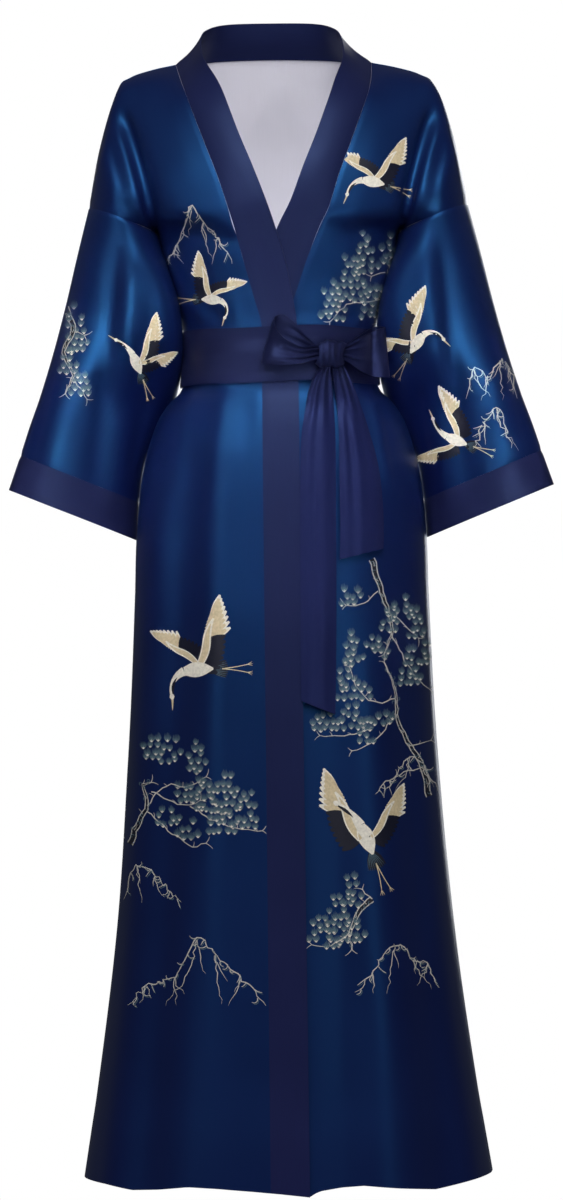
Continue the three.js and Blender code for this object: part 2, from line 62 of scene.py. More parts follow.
BUNCHED = 2.6  # how far a sleeve's cloth presses in just below the armpit
NECK_LEAN = 7.0  # how far the top of the neck sits to the wearer's right
FOLDS_FADE = 16.0  # how near its sewn edges a panel's folds fade out
SASH_PRESS = 14.0  # how near the sash the creases begin to lie flat
HEM_SWING = 200.0  # the height above the hem over which its wave fades out
TUCK = 1.6  # how far a sleeve's top ring is drawn in under the body
BAND_CROWN = 2.5  # how far the neckband's middle stands out over the chest
BAND_HOLLOW = 5.0  # how far it lies in round the neck
EASED_COLUMNS = 5  # how many columns share a panel's move onto the armhole

# How many points each grid has, along by across
BAND_POINTS = 9
ROUND_POINTS = 72  # round a sleeve and round the knot
BELT_POINTS = (240, 17)
LOOP_POINTS = (81, 25)
TAIL_POINTS = 21
KNOT_POINTS = 25
TAIL_STEP = 5.0  # spacing of a tail's rows

# The body's sections from the hem to the armpit
Section = namedtuple("Section", "z half front back")
SECTIONS = [
    Section(HEM, 239, 172, 182),
    Section(-1250, 230, 169, 179),
    Section(-1193, 221, 165, 175),
    Section(-1053, 202, 156, 164),
    Section(-913, 188, 147, 153),
    Section(-772, 178, 138, 142),
    Section(-632, 172, 129, 133),
    Section(-562, 170, 124, 127),
    Section(-491, 164, 117, 119),
    Section(-433, 149, 108, 108),
    Section(-404, 133, 101, 98),
    Section(-384, 115, 95, 89),
    Section(-349, 112, 94, 86),
    Section(-314, 114, 95, 88),
    Section(-281, 124, 102, 93),
    Section(-240, 134, 111, 99),
    Section(ARMPIT, 143, 118, 104),
]

# Where the front edges lie below the V of the neck, as signed X
Edge = namedtuple("Edge", "z top_seam top_free under_seam under_free")
EDGES = [
    Edge(HEM, -21, 24, 0, -43),
    Edge(-384, -21, 21, 3, -42),
    Edge(-314, -21, 20, 5, -41),
    Edge(-281, -30, 15, 18, -29),
    Edge(-240, -41, 7, 32, -15),
    Edge(ARMPIT, -51, -4, 47, -1),
]

# Rows above the armpit, on the +X side: the angle round the armhole, then places inwards
FrontRow = namedtuple("FrontRow", "angle ridge crease outer chest seam")
FRONT_YOKE = [
    FrontRow(40, (148, -56, -191), (142, -68, -187), (128, -89, -184), (96, -107, -181), (58, -116, -180)),
    FrontRow(75, (165, -75, -171), (151, -70, -157), (135, -88, -150), (105, -102, -145), (71, -109, -140)),
    FrontRow(110, (187, -72, -149), (166, -58, -121), (145, -73, -112), (116, -86, -106), (86, -93, -100)),
    FrontRow(145, (203, -48, -116), (181, -36, -78), (156, -48, -66), (128, -58, -58), (104, -64, -50)),
    FrontRow(165, (207, -22, -103), (187, -17, -44), (163, -22, -30), (136, -26, -24), (111, -31, -25)),
    FrontRow(180, (208, 0, -100), (187, 0, -33.5), (170, 2, -18), (143, 5, -9), (115, 8, -3)),
]
BackRow = namedtuple("BackRow", "angle ridge crease outer blade side neck middle centre")
BACK_YOKE = [
    BackRow(40, (149, 56, -190), (143, 66, -186), (128, 82, -184), (108, 93, -183),
            (86, 99, -182), (64, 103, -181), (34, 105, -180), (0, 106, -180)),
    BackRow(75, (166, 73, -169), (154, 70, -154), (136, 81, -147), (114, 91, -143),
            (90, 98, -140), (67, 102, -139), (36, 105, -138), (0, 106, -138)),
    BackRow(110, (187, 69, -147), (168, 61, -118), (148, 70, -107), (122, 80, -101),
            (96, 89, -97), (72, 95, -94), (40, 101, -92), (0, 103, -91)),
    BackRow(145, (203, 45, -115), (183, 38, -76), (158, 46, -60), (132, 54, -51),
            (103, 65, -45), (79, 76, -41), (48, 87, -38), (0, 94, -36)),
    BackRow(165, (207, 21, -103), (187, 18, -44), (163, 23, -28), (137, 28, -20),
            (111, 36, -16), (87, 58, -13), (57, 76, -11), (0, 89, -9)),
    BackRow(180, (208, 0, -100), (187, 0, -33.5), (170, 2, -18), (143, 5, -9),
            (115, 8, -3), (94, 42, 0), (64, 68, 5), (0, 84, 8)),
]
SIDE_COLUMN = 5  # where the back's top edge turns from the shoulder seam to the neck

# The neckband's seam and free edge, from the centre back to the V of the neck
BandRow = namedtuple("BandRow", "seam free")
NECKBAND = [
    BandRow((0, 84, 8), (0, 66, 49)),
    BandRow((64, 68, 5), (50, 55, 47)),
    BandRow((94, 42, 0), (73, 34, 40)),
    BandRow((115, 8, -3), (82, 8, 28)),
    BandRow((111, -31, -25), (82, -37, 1)),
    BandRow((104, -64, -50), (66, -72, -34)),
    BandRow((86, -93, -100), (45, -101, -92)),
    BandRow((71, -109, -140), (29, -116, -132)),
    BandRow((58, -116, -180), (14, -121, -172)),
]
SHOULDER_ROW = 3

# Sleeve sections from the armhole to the end of the cuff, as X and Z seen from the front. The
# inner edge lies ahead of the robe's side above the waist, and behind it beside the hip.
SleeveRow = namedtuple("SleeveRow", "outer inner depth ahead")
SLEEVE = [
    SleeveRow((222, -173), (143, -202), 72, 0),
    SleeveRow((236, -228), (129.5, -243), 66, 32),
    SleeveRow((250, -285), (115.5, -292), 60, 38),
    SleeveRow((265, -340), (113.5, -350), 54, 16),
    SleeveRow((281, -391), (127.3, -408), 49, -41),
    SleeveRow((294, -427), (157, -462), 44, -27),
    SleeveRow((305, -460), (166.5, -516), 40, -27),
    SleeveRow((319, -500), (170, -560), 37, -25),
]
CUFF_ROW = 6

# The largest folds, as in the solids. A fold runs in front (-1) or behind (1) from start to
# end, as X and Z, and stands out by its height, or lies in where that is below zero.
Fold = namedtuple("Fold", "side start end width height bow rise", defaults=(0, FOLD_END))
BODY_FOLDS = [
    Fold(-1, (-66, -400), (-96, HEM), 34, 5),
    Fold(-1, (-104, -430), (-166, HEM), 26, -5),
    Fold(-1, (-140, -500), (-214, HEM), 22, 4),
    Fold(-1, (96, -700), (120, HEM), 34, 5),
    Fold(-1, (62, -640), (66, HEM), 22, -4),
    Fold(-1, (128, -470), (182, HEM), 26, -5),
    Fold(-1, (-84, -150), (-60, -205), 34, 3),
    Fold(-1, (92, -150), (66, -205), 34, 3),
    Fold(1, (-58, -420), (-92, HEM), 34, 6),
    Fold(1, (10, -470), (4, HEM), 36, 5),
    Fold(1, (70, -430), (104, HEM), 34, 6),
    Fold(1, (-110, -440), (-172, HEM), 28, -5),
    Fold(1, (-26, -440), (-44, HEM), 28, -4),
    Fold(1, (40, -440), (54, HEM), 28, -4),
    Fold(1, (116, -440), (176, HEM), 28, -5),
]
SLEEVE_FOLDS = [
    Fold(-1, (184, -180), (214, -470), 11, -4),
    Fold(-1, (168, -205), (190, -480), 12, 3),
    Fold(-1, (208, -190), (262, -450), 16, 3),
    Fold(1, (186, -180), (222, -470), 13, -4),
    Fold(1, (206, -200), (260, -460), 18, 3),
]

# Smaller creases, which the solids leave out
BODY_CREASES = [
    # From the tips of the shoulders to the armpits
    Fold(-1, (-184, -52), (-149, -184), 6, -6.5, 3, 30),
    Fold(-1, (-193, -70), (-157, -196), 7, 4.5, 3, 30),
    Fold(-1, (-199, -92), (-176, -190), 6, -2, 2, 30),
    Fold(-1, (184, -52), (149, -184), 6, -6.5, -3, 30),
    Fold(-1, (193, -70), (157, -196), 7, 4.5, -3, 30),
    Fold(-1, (199, -92), (176, -190), 6, -2, -2, 30),
    # Across under the bust
    Fold(-1, (-138, -206), (-56, -218), 9, -2.6, 4, 25),
    Fold(-1, (-136, -186), (-58, -196), 11, 2.2, 4, 25),
    Fold(-1, (58, -218), (138, -206), 9, -2, 4, 25),
    Fold(-1, (60, -196), (136, -186), 11, 1.8, 4, 25),
    # From the armpits to the bust
    Fold(-1, (-140, -205), (-92, -300), 9, 1.8, -6, 40),
    Fold(-1, (-128, -196), (-70, -312), 8, -1.6, -8, 40),
    Fold(-1, (138, -205), (96, -300), 9, 1.8, 6, 40),
    Fold(-1, (124, -196), (84, -312), 8, -1.6, 8, 40),
    # Gathers above the sash
    Fold(-1, (-96, -262), (-88, -330), 5, 1.6, 2, 40),
    Fold(-1, (-74, -275), (-70, -330), 4, -1.4, -1, 30),
    Fold(-1, (-52, -266), (-50, -330), 5, 1.5, 1, 40),
    Fold(-1, (64, -270), (60, -330), 4, 1.4, 1, 30),
    Fold(-1, (88, -262), (80, -330), 5, -1.5, -2, 40),
    # Gathers below the sash
    Fold(-1, (-98, -374), (-118, -470), 8, 1.4, -3, 50),
    Fold(-1, (-84, -374), (-92, -520), 8, -1.0, 3, 60),
    Fold(-1, (-62, -374), (-68, -455), 8, 0.8, -2, 50),
    Fold(-1, (-44, -374), (-40, -500), 8, -0.7, 2, 60),
    Fold(-1, (96, -374), (118, -470), 6, 2.4, 3, 50),
    Fold(-1, (80, -374), (92, -520), 6, -1.8, -3, 60),
    Fold(-1, (64, -374), (70, -450), 5, 1.6, 2, 50),
    # Long soft folds of the skirt
    Fold(-1, (-48, -760), (-54, HEM), 16, 2.2, 5, 200),
    Fold(-1, (-178, -820), (-222, HEM), 12, -2.5, 4, 200),
    Fold(-1, (150, -700), (212, HEM), 14, 3, -6, 200),
    Fold(-1, (84, -980), (90, HEM), 14, -1.8, 4, 150),
    # The back
    Fold(1, (-150, -120), (-128, -196), 6, -3, 2, 30),
    Fold(1, (150, -120), (128, -196), 6, -3, -2, 30),
    Fold(1, (-34, -60), (-26, -300), 22, 1.5, 5, 120),
    Fold(1, (40, -80), (30, -290), 20, 1.3, -6, 120),
    Fold(1, (-84, -262), (-76, -330), 6, 2.0, 2, 50),
    Fold(1, (-40, -258), (-44, -330), 6, -1.8, -2, 50),
    Fold(1, (18, -250), (16, -330), 6, 2.0, 1, 50),
    Fold(1, (64, -262), (60, -330), 6, -1.8, -2, 50),
    Fold(1, (-78, -374), (-92, -500), 7, 2.4, 3, 60),
    Fold(1, (-24, -374), (-30, -470), 6, 2.2, -2, 50),
    Fold(1, (34, -374), (44, -520), 7, -2.0, 3, 60),
    Fold(1, (82, -374), (98, -480), 7, 2.4, -3, 50),
    Fold(1, (150, -700), (204, HEM), 14, 3, -5, 200),
    Fold(1, (-140, -760), (-206, HEM), 14, 2.6, 6, 200),
]

# How far the hem rises above its level, in front (-1) and behind (1)
Wave = namedtuple("Wave", "x rise")
HEM_WAVES = {
    -1: [Wave(-239, 4), Wave(-212, 2), Wave(-181, -2.5), Wave(-150, -0.5), Wave(-116, 3.5),
         Wave(-80, 2), Wave(-42, -1), Wave(-10, -4), Wave(24, -8), Wave(34, -2), Wave(60, 2),
         Wave(86, 3.5), Wave(128, -1), Wave(169, -4.5), Wave(206, 1), Wave(239, 6)],
    1: [Wave(-239, 4), Wave(-190, -2), Wave(-130, 3), Wave(-60, -3), Wave(4, 2.5), Wave(74, -3),
        Wave(136, 3), Wave(190, -2), Wave(239, 6)],
}
SLEEVE_CREASES = [
    Fold(-1, (230, -230), (286, -440), 8, -2, 3, 60),
    Fold(-1, (150, -260), (166, -450), 7, -2.5, -4, 60),
    Fold(1, (166, -230), (196, -470), 9, -3, 5, 60),
    Fold(1, (234, -240), (288, -450), 9, -2.5, -3, 60),
]

# The sash's lengthwise folds, as shares of its height that wander as it goes round
SashFold = namedtuple("SashFold", "share wander turns phase width height")
SASH_FOLDS = [
    SashFold(0.16, 0.06, 2, 0.4, 0.07, 0.6),
    SashFold(0.36, 0.09, 1, 2.1, 0.05, 0.4),
    SashFold(0.52, 0.08, 2, 4.0, 0.07, -0.5),
    SashFold(0.70, 0.07, 3, 1.0, 0.06, 0.6),
    SashFold(0.86, 0.05, 2, 5.2, 0.05, 0.5),
]
EDGE_WAVE = 1.6  # how far the sash's edges rise and fall

# The bow: the knot's centre as X and Z, and its half sizes
KNOT_CENTRE = (59.0, -349.0)
KNOT_HALF = (16.5, 11.0, 15.5)
KNOT_TAPER = 0.3  # how much the knot's ends draw in, as a share
LOOP_STANDS_OFF = 9.5  # from the sash's face to a loop's middle
LOOP_PLEAT = 1.5  # how high a loop's pleats stand beside the knot
LOOP_SWELL = 2.2  # how far a loop's cloth swells where it is open
# A loop's ends lean: their top corners lie further along X than their bottom ones
Loop = namedtuple("Loop", "x behind z width lean", defaults=(0,))
LOOP_RIGHT = [
    Loop(49, -3, -348, 14),
    Loop(41.7, -4, -347, 16),
    Loop(24, -9, -350, 20),
    Loop(4, -12, -347, 30, 6),
    Loop(-9, -10, -341, 38, 12),
    Loop(-15, -1.5, -334, 50, 15),
    Loop(-9, 5, -331, 54, 12),
    Loop(4, 6, -332, 55, 6),
    Loop(24, 5, -338, 38),
    Loop(41.7, 4, -345, 16),
    Loop(49, 3, -348, 14),
]
LOOP_LEFT = [
    Loop(70, -3, -348, 14),
    Loop(77.4, -4, -348, 18),
    Loop(91, -9, -349, 36),
    Loop(106, -13, -348, 50),
    Loop(118, -11, -347, 56, -4),
    Loop(125, -4, -346, 58, -5),
    Loop(117, 3, -345, 59, -4),
    Loop(106, 5, -345, 55),
    Loop(91, 5, -346, 38),
    Loop(77.4, 4, -347, 18),
    Loop(70, 3, -348, 14),
]
# A tail's rows give X of both its edges at a height, and its rolls are shares of its width
Tail = namedtuple("Tail", "z left right")
TAIL_LONG = [
    Tail(-357, 50, 60),
    Tail(-366.6, 45, 58),
    Tail(-387, 34, 60),
    Tail(-420, 27, 62),
    Tail(-455, 23, 63),
    Tail(-520, 21, 62.5),
    Tail(-600, 20.5, 62),
    Tail(-680, 20, 61),
    Tail(-748, 20, 59),
]
TAIL_SHORT = [
    Tail(-357, 61, 70),
    Tail(-366.6, 61, 77),
    Tail(-397, 64, 89),
    Tail(-431, 66.5, 100),
    Tail(-477, 67, 112),
    Tail(-523, 67, 117),
    Tail(-560, 67, 117.5),
    Tail(-586, 66, 117),
]
LONG_END_SLANT = 16  # how much lower the long tail's right corner hangs
SHORT_END_SLANT = -12
TAIL_GATHER = 90.0  # how far below the knot a tail has opened out
TAIL_PLEAT = 1.3  # how high a tail's pleats stand just below the knot
TAIL_CROWN = 3.0  # how far a tail's middle stands off the skirt beyond its edges
Roll = namedtuple("Roll", "share width height")
LONG_ROLLS = [Roll(0.2, 0.14, 1.4), Roll(0.66, 0.2, 1.4), Roll(0.42, 0.1, -0.9)]
SHORT_ROLLS = [Roll(0.16, 0.12, 1.8), Roll(0.5, 0.16, 2.4), Roll(0.84, 0.12, 1.6),
               Roll(0.33, 0.1, -1.5)]

Crane = namedtuple("Crane", "panel x z size heading bend high_wing side_wing")
CRANES = [
    Crane("front_left", 108, -150, 53, 165, 95, 58, 150),
    Crane("front_right", -77, -283, 46, 0, -125, 100, 15),
    Crane("sleeve_right", -167, -354, 50, 110, 45, 75, 20),
    Crane("sleeve_left", 159, -334, 53, 60, -120, 72, 170),
    Crane("sleeve_left", 203, -448, 53, 160, -55, 115, 195),
    Crane("front_right", -100, -710, 71, 180, 105, 78, 150),
    Crane("front_left", 93, -905, 76, 110, 45, 112, 62),
    Crane("back", -70, -170, 62, 150, 70, 84, 20),
    Crane("back", 74, -262, 52, 20, -100, 96, 160),
    Crane("back", 84, -640, 74, 165, 95, 70, 140),
    Crane("back", -92, -830, 76, 60, -70, 118, 20),
    Crane("back", 60, -1010, 66, 120, 50, 100, 40),
]
# Each heap of tufts is X and Z of its foot, and its width and height
Bough = namedtuple("Bough", "panel heaps branches")
BOUGHS = [
    Bough("front_left",
          [(62, -309, 30, 46), (83, -288, 39, 53), (100, -256, 25, 55), (113, -306, 39, 41),
           (130, -244, 25, 39), (132, -274, 18, 25)],
          [[(141, -226), (130, -244), (136, -260), (125, -279), (115, -309)],
           [(125, -279), (102, -288), (81, -290), (58, -311)], [(136, -260), (123, -253), (107, -258)]]),
    Bough("sleeve_right",
          [(-238, -313, 23, 32), (-234, -341, 28, 34), (-246, -366, 25, 34), (-232, -393, 25, 30)],
          [[(-249, -288), (-240, -315), (-252, -341), (-241, -370), (-250, -389)],
           [(-240, -315), (-227, -322)], [(-241, -370), (-225, -396)]]),
    Bough("front_left",
          [(80, -639, 28, 25), (123, -669, 23, 30), (155, -678, 23, 39), (139, -657, 23, 28),
           (147, -733, 28, 46), (166, -710, 18, 28)],
          [[(103, -586), (110, -609), (119, -639), (125, -671), (116, -696)],
           [(110, -623), (93, -637), (73, -639)], [(125, -671), (139, -701), (157, -728), (170, -738)],
           [(121, -646), (139, -662), (157, -678)]]),
    Bough("front_left",
          [(46, -783, 34, 30), (72, -747, 23, 46), (78, -781, 34, 34), (79, -705, 21, 37),
           (106, -703, 28, 30), (92, -747, 18, 25), (94, -797, 25, 30), (115, -777, 25, 18)],
          [[(167, -861), (160, -827), (144, -802), (131, -770), (129, -740), (116, -705)],
           [(129, -747), (108, -751), (90, -742), (76, -710)],
           [(131, -765), (117, -781), (98, -799), (78, -806)], [(101, -779), (76, -788), (41, -788)],
           [(144, -802), (170, -797)], [(160, -827), (135, -834), (116, -850)]]),
    Bough("front_right",
          [(-152, -816, 25, 30), (-131, -818, 28, 34), (-101, -827, 21, 39), (-97, -848, 18, 21),
           (-113, -864, 30, 25), (-90, -875, 28, 39), (-68, -875, 34, 46), (-45, -894, 30, 44),
           (-72, -898, 39, 30), (-134, -891, 28, 23), (-109, -905, 30, 25)],
          [[(-180, -913), (-169, -887), (-159, -868), (-164, -845), (-154, -841)],
           [(-159, -868), (-138, -845), (-111, -845), (-90, -834)],
           [(-154, -852), (-134, -861), (-113, -868), (-97, -861)],
           [(-159, -875), (-143, -889), (-125, -903), (-107, -914), (-91, -910)],
           [(-109, -868), (-86, -882), (-61, -891), (-26, -896)]]),
    Bough("front_left",
          [(41, -1022, 28, 34), (60, -1006, 28, 41), (76, -985, 23, 41), (75, -1027, 28, 30),
           (55, -1031, 23, 21)],
          [[(99, -976), (85, -990), (73, -1013), (75, -1033)], [(73, -1013), (55, -1027), (29, -1027)],
           [(99, -976), (88, -965)]]),
    Bough("back",
          [(96, -150, 34, 40), (72, -158, 30, 34), (112, -196, 30, 34), (84, -204, 34, 40)],
          [[(134, -150), (112, -160), (92, -176), (70, -204)], [(112, -160), (90, -150)],
           [(92, -176), (116, -198)]]),
    Bough("back",
          [(-140, -640, 34, 46), (-112, -650, 34, 52), (-84, -668, 30, 40), (-126, -700, 39, 46),
           (-92, -712, 34, 40)],
          [[(-172, -700), (-150, -672), (-126, -664), (-96, -672)], [(-150, -672), (-128, -700), (-92, -716)],
           [(-126, -664), (-112, -648)]]),
    Bough("back",
          [(120, -880, 34, 46), (92, -896, 34, 52), (140, -912, 34, 40), (64, -914, 30, 34)],
          [[(176, -930), (150, -906), (122, -896), (88, -900), (58, -918)], [(122, -896), (140, -914)]]),
]
# A mountain runs from left to right over its base, with peaks as shares of its length
Ridge = namedtuple("Ridge", "panel left right base peaks")
RIDGES = [
    Ridge("front_right", -136, -54, -244, [(0.2, 20), (0.42, 66), (0.6, 48), (0.8, 30)]),
    Ridge("sleeve_left", 216, 276, -400, [(0.15, 34), (0.42, 26), (0.66, 44), (0.85, 36)]),
    Ridge("sleeve_left", 224, 268, -458, [(0.3, 30), (0.62, 46)]),
    Ridge("front_right", -184, -20, -1098, [(0.14, 22), (0.34, 34), (0.5, 78), (0.62, 60), (0.8, 34)]),
    Ridge("front_right", -188, -120, -978, [(0.24, 40), (0.55, 30), (0.8, 12)]),
    Ridge("front_left", 104, 178, -856, [(0.24, 16), (0.55, 42), (0.78, 30)]),
    Ridge("front_left", 78, 176, -1082, [(0.2, 22), (0.46, 54), (0.7, 36), (0.86, 28)]),
    Ridge("back", -90, 30, -322, [(0.2, 24), (0.45, 62), (0.66, 40), (0.84, 30)]),
    Ridge("back", -150, -10, -1090, [(0.2, 26), (0.44, 70), (0.62, 52), (0.82, 26)]),
    Ridge("back", 20, 150, -790, [(0.22, 22), (0.5, 58), (0.74, 36)]),
]


def ramp(value, start, end):
    """0 before start, 1 after end, with a smooth rise between them."""
    share = np.clip((np.asarray(value, float) - start) / (end - start), 0, 1)
    return share * share * (3 - 2 * share)


def along(values, at, corners=()):
    """A Catmull-Rom curve through equally spaced values, which may have sharp corners."""
    values = np.asarray(values, float)
    at = np.asarray(at, float)
    last = len(values) - 1
    start = np.minimum(at.astype(int), last - 1)
    share = (at - start).reshape(-1, *[1] * (values.ndim - 1))
    near = values[start]
    far = values[start + 1]
    before = values[np.maximum(start - 1, 0)]
    after = values[np.minimum(start + 2, last)]
    opens = (start == 0) | np.isin(start, corners)
    closes = (start + 1 == last) | np.isin(start + 1, corners)
    before[opens] = (2 * near - far)[opens]
    after[closes] = (2 * far - near)[closes]
    leave = (far - before) / 2
    arrive = (after - near) / 2
    curve = near * (2 * share**3 - 3 * share**2 + 1) + far * (3 * share**2 - 2 * share**3)
    return curve + leave * (share**3 - 2 * share**2 + share) + arrive * (share**3 - share**2)


def even_stops(points, spacing):
    """Steps along control points, about a spacing apart, with a step at each control point."""
    lengths = np.linalg.norm(np.diff(np.asarray(points, float), axis=0), axis=1)
    steps = [np.arange(count) / count + index for index, count in
             enumerate(np.maximum(1, np.rint(lengths / spacing)).astype(int))]
    return np.append(np.concatenate(steps), len(lengths))


def smooth_grid(rows, row_stops, column_stops, corners=()):
    """Points of the smooth surface through control rows, at steps both ways."""
    lines = along(np.swapaxes(rows, 0, 1), column_stops, corners)
    return along(np.swapaxes(lines, 0, 1), row_stops)


def joined(x, y, z):
    """Points from their coordinates, which may be numbers, rows or columns."""
    return np.stack(np.broadcast_arrays(x, y, z), axis=-1)


def run_lengths(grid, axis):
    """How far each point lies along its row (axis 1) or its column (axis 0), on the cloth."""
    first = grid[:, :1] if axis else grid[:1]
    return np.cumsum(np.linalg.norm(np.diff(grid, axis=axis, prepend=first), axis=2), axis=axis)


def from_edges(grid):
    """How far each point of a grid lies from each of its edges, on the cloth."""
    across = run_lengths(grid, 1)
    up = run_lengths(grid, 0)
    return {"left": across, "right": across[:, -1:] - across, "bottom": up, "top": up[-1:] - up}


def section_at(z):
    """A section's half width, front and back depth at a height."""
    heights = [section.z for section in SECTIONS]
    return [np.interp(z, heights, [getattr(section, name) for section in SECTIONS])
            for name in ("half", "front", "back")]


def body_point(z, degrees):
    """A point round a section: 0 degrees is the centre front and 90 the +X side."""
    half, front, back = section_at(z)
    angle = np.radians(degrees)
    across = np.sin(angle)
    ahead = np.cos(angle)
    depth = np.where(ahead > 0, -front, back)
    x = half * np.sign(across) * np.abs(across) ** (2 / SQUARENESS)
    y = depth * np.abs(ahead) ** (2 / SQUARENESS)
    return joined(x, y, z)


def angle_at(z, x):
    """The angle at which a section's front passes a given X."""
    share = np.clip(np.abs(x) / section_at(z)[0], 0, 1)
    return np.sign(x) * np.degrees(np.arcsin(share ** (SQUARENESS / 2)))


def edge_at(z, name):
    """X of a front edge at a height."""
    return np.interp(z, [edge.z for edge in EDGES], [getattr(edge, name) for edge in EDGES])


def relief(folds, x, z, side):
    """How far folds stand out at points of one side, which is -1 in front and 1 behind."""
    height = np.zeros(np.broadcast(x, z).shape)
    for fold in folds:
        run = np.subtract(fold.end, fold.start).astype(float)
        length = np.linalg.norm(run)
        share = ((x - fold.start[0]) * run[0] + (z - fold.start[1]) * run[1]) / length**2
        off = ((fold.start[0] - x) * run[1] + (z - fold.start[1]) * run[0]) / length
        off = off - fold.bow * np.sin(np.pi * np.clip(share, 0, 1))
        ends = ramp(share * length, 0, fold.rise) * (1 - ramp((share - 1) * length, 0, fold.rise))
        here = np.asarray(side) == fold.side
        height += here * fold.height * ends * np.exp(-((off / fold.width) ** 2))
    return height


def normals_of(grid, closed=False):
    """The way that a grid faces at each point: its rows go up and run to the right."""
    if closed:
        across = np.roll(grid, -1, axis=1) - np.roll(grid, 1, axis=1)
    else:
        across = np.gradient(grid, axis=1)
    ways = np.cross(across, np.gradient(grid, axis=0))
    return ways / np.linalg.norm(ways, axis=2, keepdims=True)


def pushed(grid, distance, closed=False):
    """A grid moved out by a distance at each point."""
    return grid + normals_of(grid, closed) * np.asarray(distance)[..., None]


def waved(grid, side):
    """A panel whose hem rises and falls a little, where side is -1 in front and 1 behind."""
    waves = HEM_WAVES[side]
    rise = np.interp(grid[..., 0], [wave.x for wave in waves], [wave.rise for wave in waves])
    grid[..., 2] += rise * ramp(-grid[..., 2], -HEM - HEM_SWING, -HEM)
    return grid


def creased(grid, side, sewn_edges):
    """A panel with its folds, which fade out by its sewn edges; the sash presses it flat."""
    distance = from_edges(grid)
    x, z = grid[..., 0], grid[..., 2]
    below = ramp(z, BELT_BOTTOM - SASH_PRESS, BELT_BOTTOM - 2)
    above = ramp(z, BELT_TOP + 2, BELT_TOP + SASH_PRESS)
    pressed = below * (1 - above)
    height = relief(BODY_FOLDS, x, z, side) + relief(BODY_CREASES, x, z, side) * (1 - pressed)
    for edge in sewn_edges:
        height = height * ramp(distance[edge], 0, FOLDS_FADE)
    return pushed(grid, height)


def set_in(grid, stops, column, side):
    """Sets a panel's edge onto the armhole's ring, and eases the columns beside it."""
    armpit = len(SECTIONS) - 1
    row_angles = [0, *[row.angle for row in FRONT_YOKE]]
    angles = np.interp(stops, armpit + np.arange(len(row_angles)), row_angles)
    ring = np.array([armhole_point(angle, side) for angle in angles])
    ring = ring * (np.sign(grid[0, column, 0]), 1, 1)
    move = (ring - grid[:, column]) * (stops > armpit)[:, None]
    inward = 1 if column == 0 else -1
    for step in range(EASED_COLUMNS):
        grid[:, column + step * inward] += move * (1 - step / EASED_COLUMNS)


def leaned(grid):
    """The robe sits a little to the wearer's right at the neck, as in the photo."""
    grid[..., 0] -= NECK_LEAN * ramp(grid[..., 2], -50, 40)
    return grid


def top_lift(x, z):
    """How much further out the top front lies, which grows towards where it covers the other."""
    return WRAP * ramp(x, -104, -64) * ramp(-z, 120, 185)


def sash_lift(x):
    """How far the sash's inner face lies off the body's sections in front."""
    return WRAP * ramp(x, -112, -78) * (1 - ramp(x, 32, 84)) + CLEAR


def seam_dip(grid, sides):
    """How far the cloth turns in beside its seams, at the named sides of a grid."""
    distance = from_edges(grid)
    dip = np.zeros(grid.shape[:2])
    for side in sides:
        dip = np.maximum(dip, SEAM_DIP * np.exp(-((distance[side] / SEAM_ROLL) ** 2)))
    return -dip


def armhole_point(angle, side):
    """A point of the armhole's ring: 0 degrees is the armpit, 180 the shoulder end."""
    ring = SLEEVE[0]
    share = (1 - math.cos(math.radians(angle))) / 2
    x, z = np.array(ring.inner) + share * np.subtract(ring.outer, ring.inner)
    return x, side * ring.depth * math.sin(math.radians(angle)), z


def front_rows(top):
    """Control rows of a front, from the hem up, each from the armhole side to the neckband."""
    sign = -1 if top else 1
    shares = np.array([0, 0.15, 0.33, 0.52, 0.75, 1])
    rows = []
    for section in SECTIONS:
        seam = angle_at(section.z, edge_at(section.z, "top_seam" if top else "under_seam"))
        rows.append(body_point(section.z, sign * 90 + shares * (seam - sign * 90)))
    for row in FRONT_YOKE:
        rows.append(np.array([armhole_point(row.angle, -1), *row[1:]]) * (sign, 1, 1))
    return np.array(rows)


def back_rows():
    """Control rows of the back, from the hem up, each from the -X side to the +X side."""
    shares = np.array([0, 0.13, 0.27, 0.4, 0.51, 0.62, 0.74, 0.87, 1])
    halves = [body_point(section.z, 90 + 90 * shares) for section in SECTIONS]
    halves += [np.array([armhole_point(row.angle, 1), *row[1:]]) for row in BACK_YOKE]
    halves = np.array(halves, float)
    halves[:, -1, 0] = 0
    return np.concatenate([halves * (-1, 1, 1), halves[:, -2::-1]], axis=1)


def front_grid(top):
    """A front panel's outer side, with its folds."""
    rows = front_rows(top)
    stops = even_stops(rows[:, 2], FINE)
    grid = smooth_grid(rows, stops, even_stops(rows[0], FINE))
    set_in(grid, stops, 0, -1)
    if top:
        grid[..., 1] -= top_lift(grid[..., 0], grid[..., 2])
    else:
        grid = grid[:, ::-1]
    return leaned(waved(creased(grid, -1, ("left",) if top else ("right",)), -1))


def back_grid():
    """The back panel's outer side, with its folds."""
    rows = back_rows()
    corners = (SIDE_COLUMN, rows.shape[1] - 1 - SIDE_COLUMN)
    stops = even_stops(rows[:, 4], FINE)
    grid = smooth_grid(rows, stops, even_stops(rows[0], FINE), corners)
    set_in(grid, stops, 0, 1)
    set_in(grid, stops, -1, 1)
    grid = grid[:, ::-1]
    return leaned(waved(creased(grid, 1, ("left", "right")), 1))


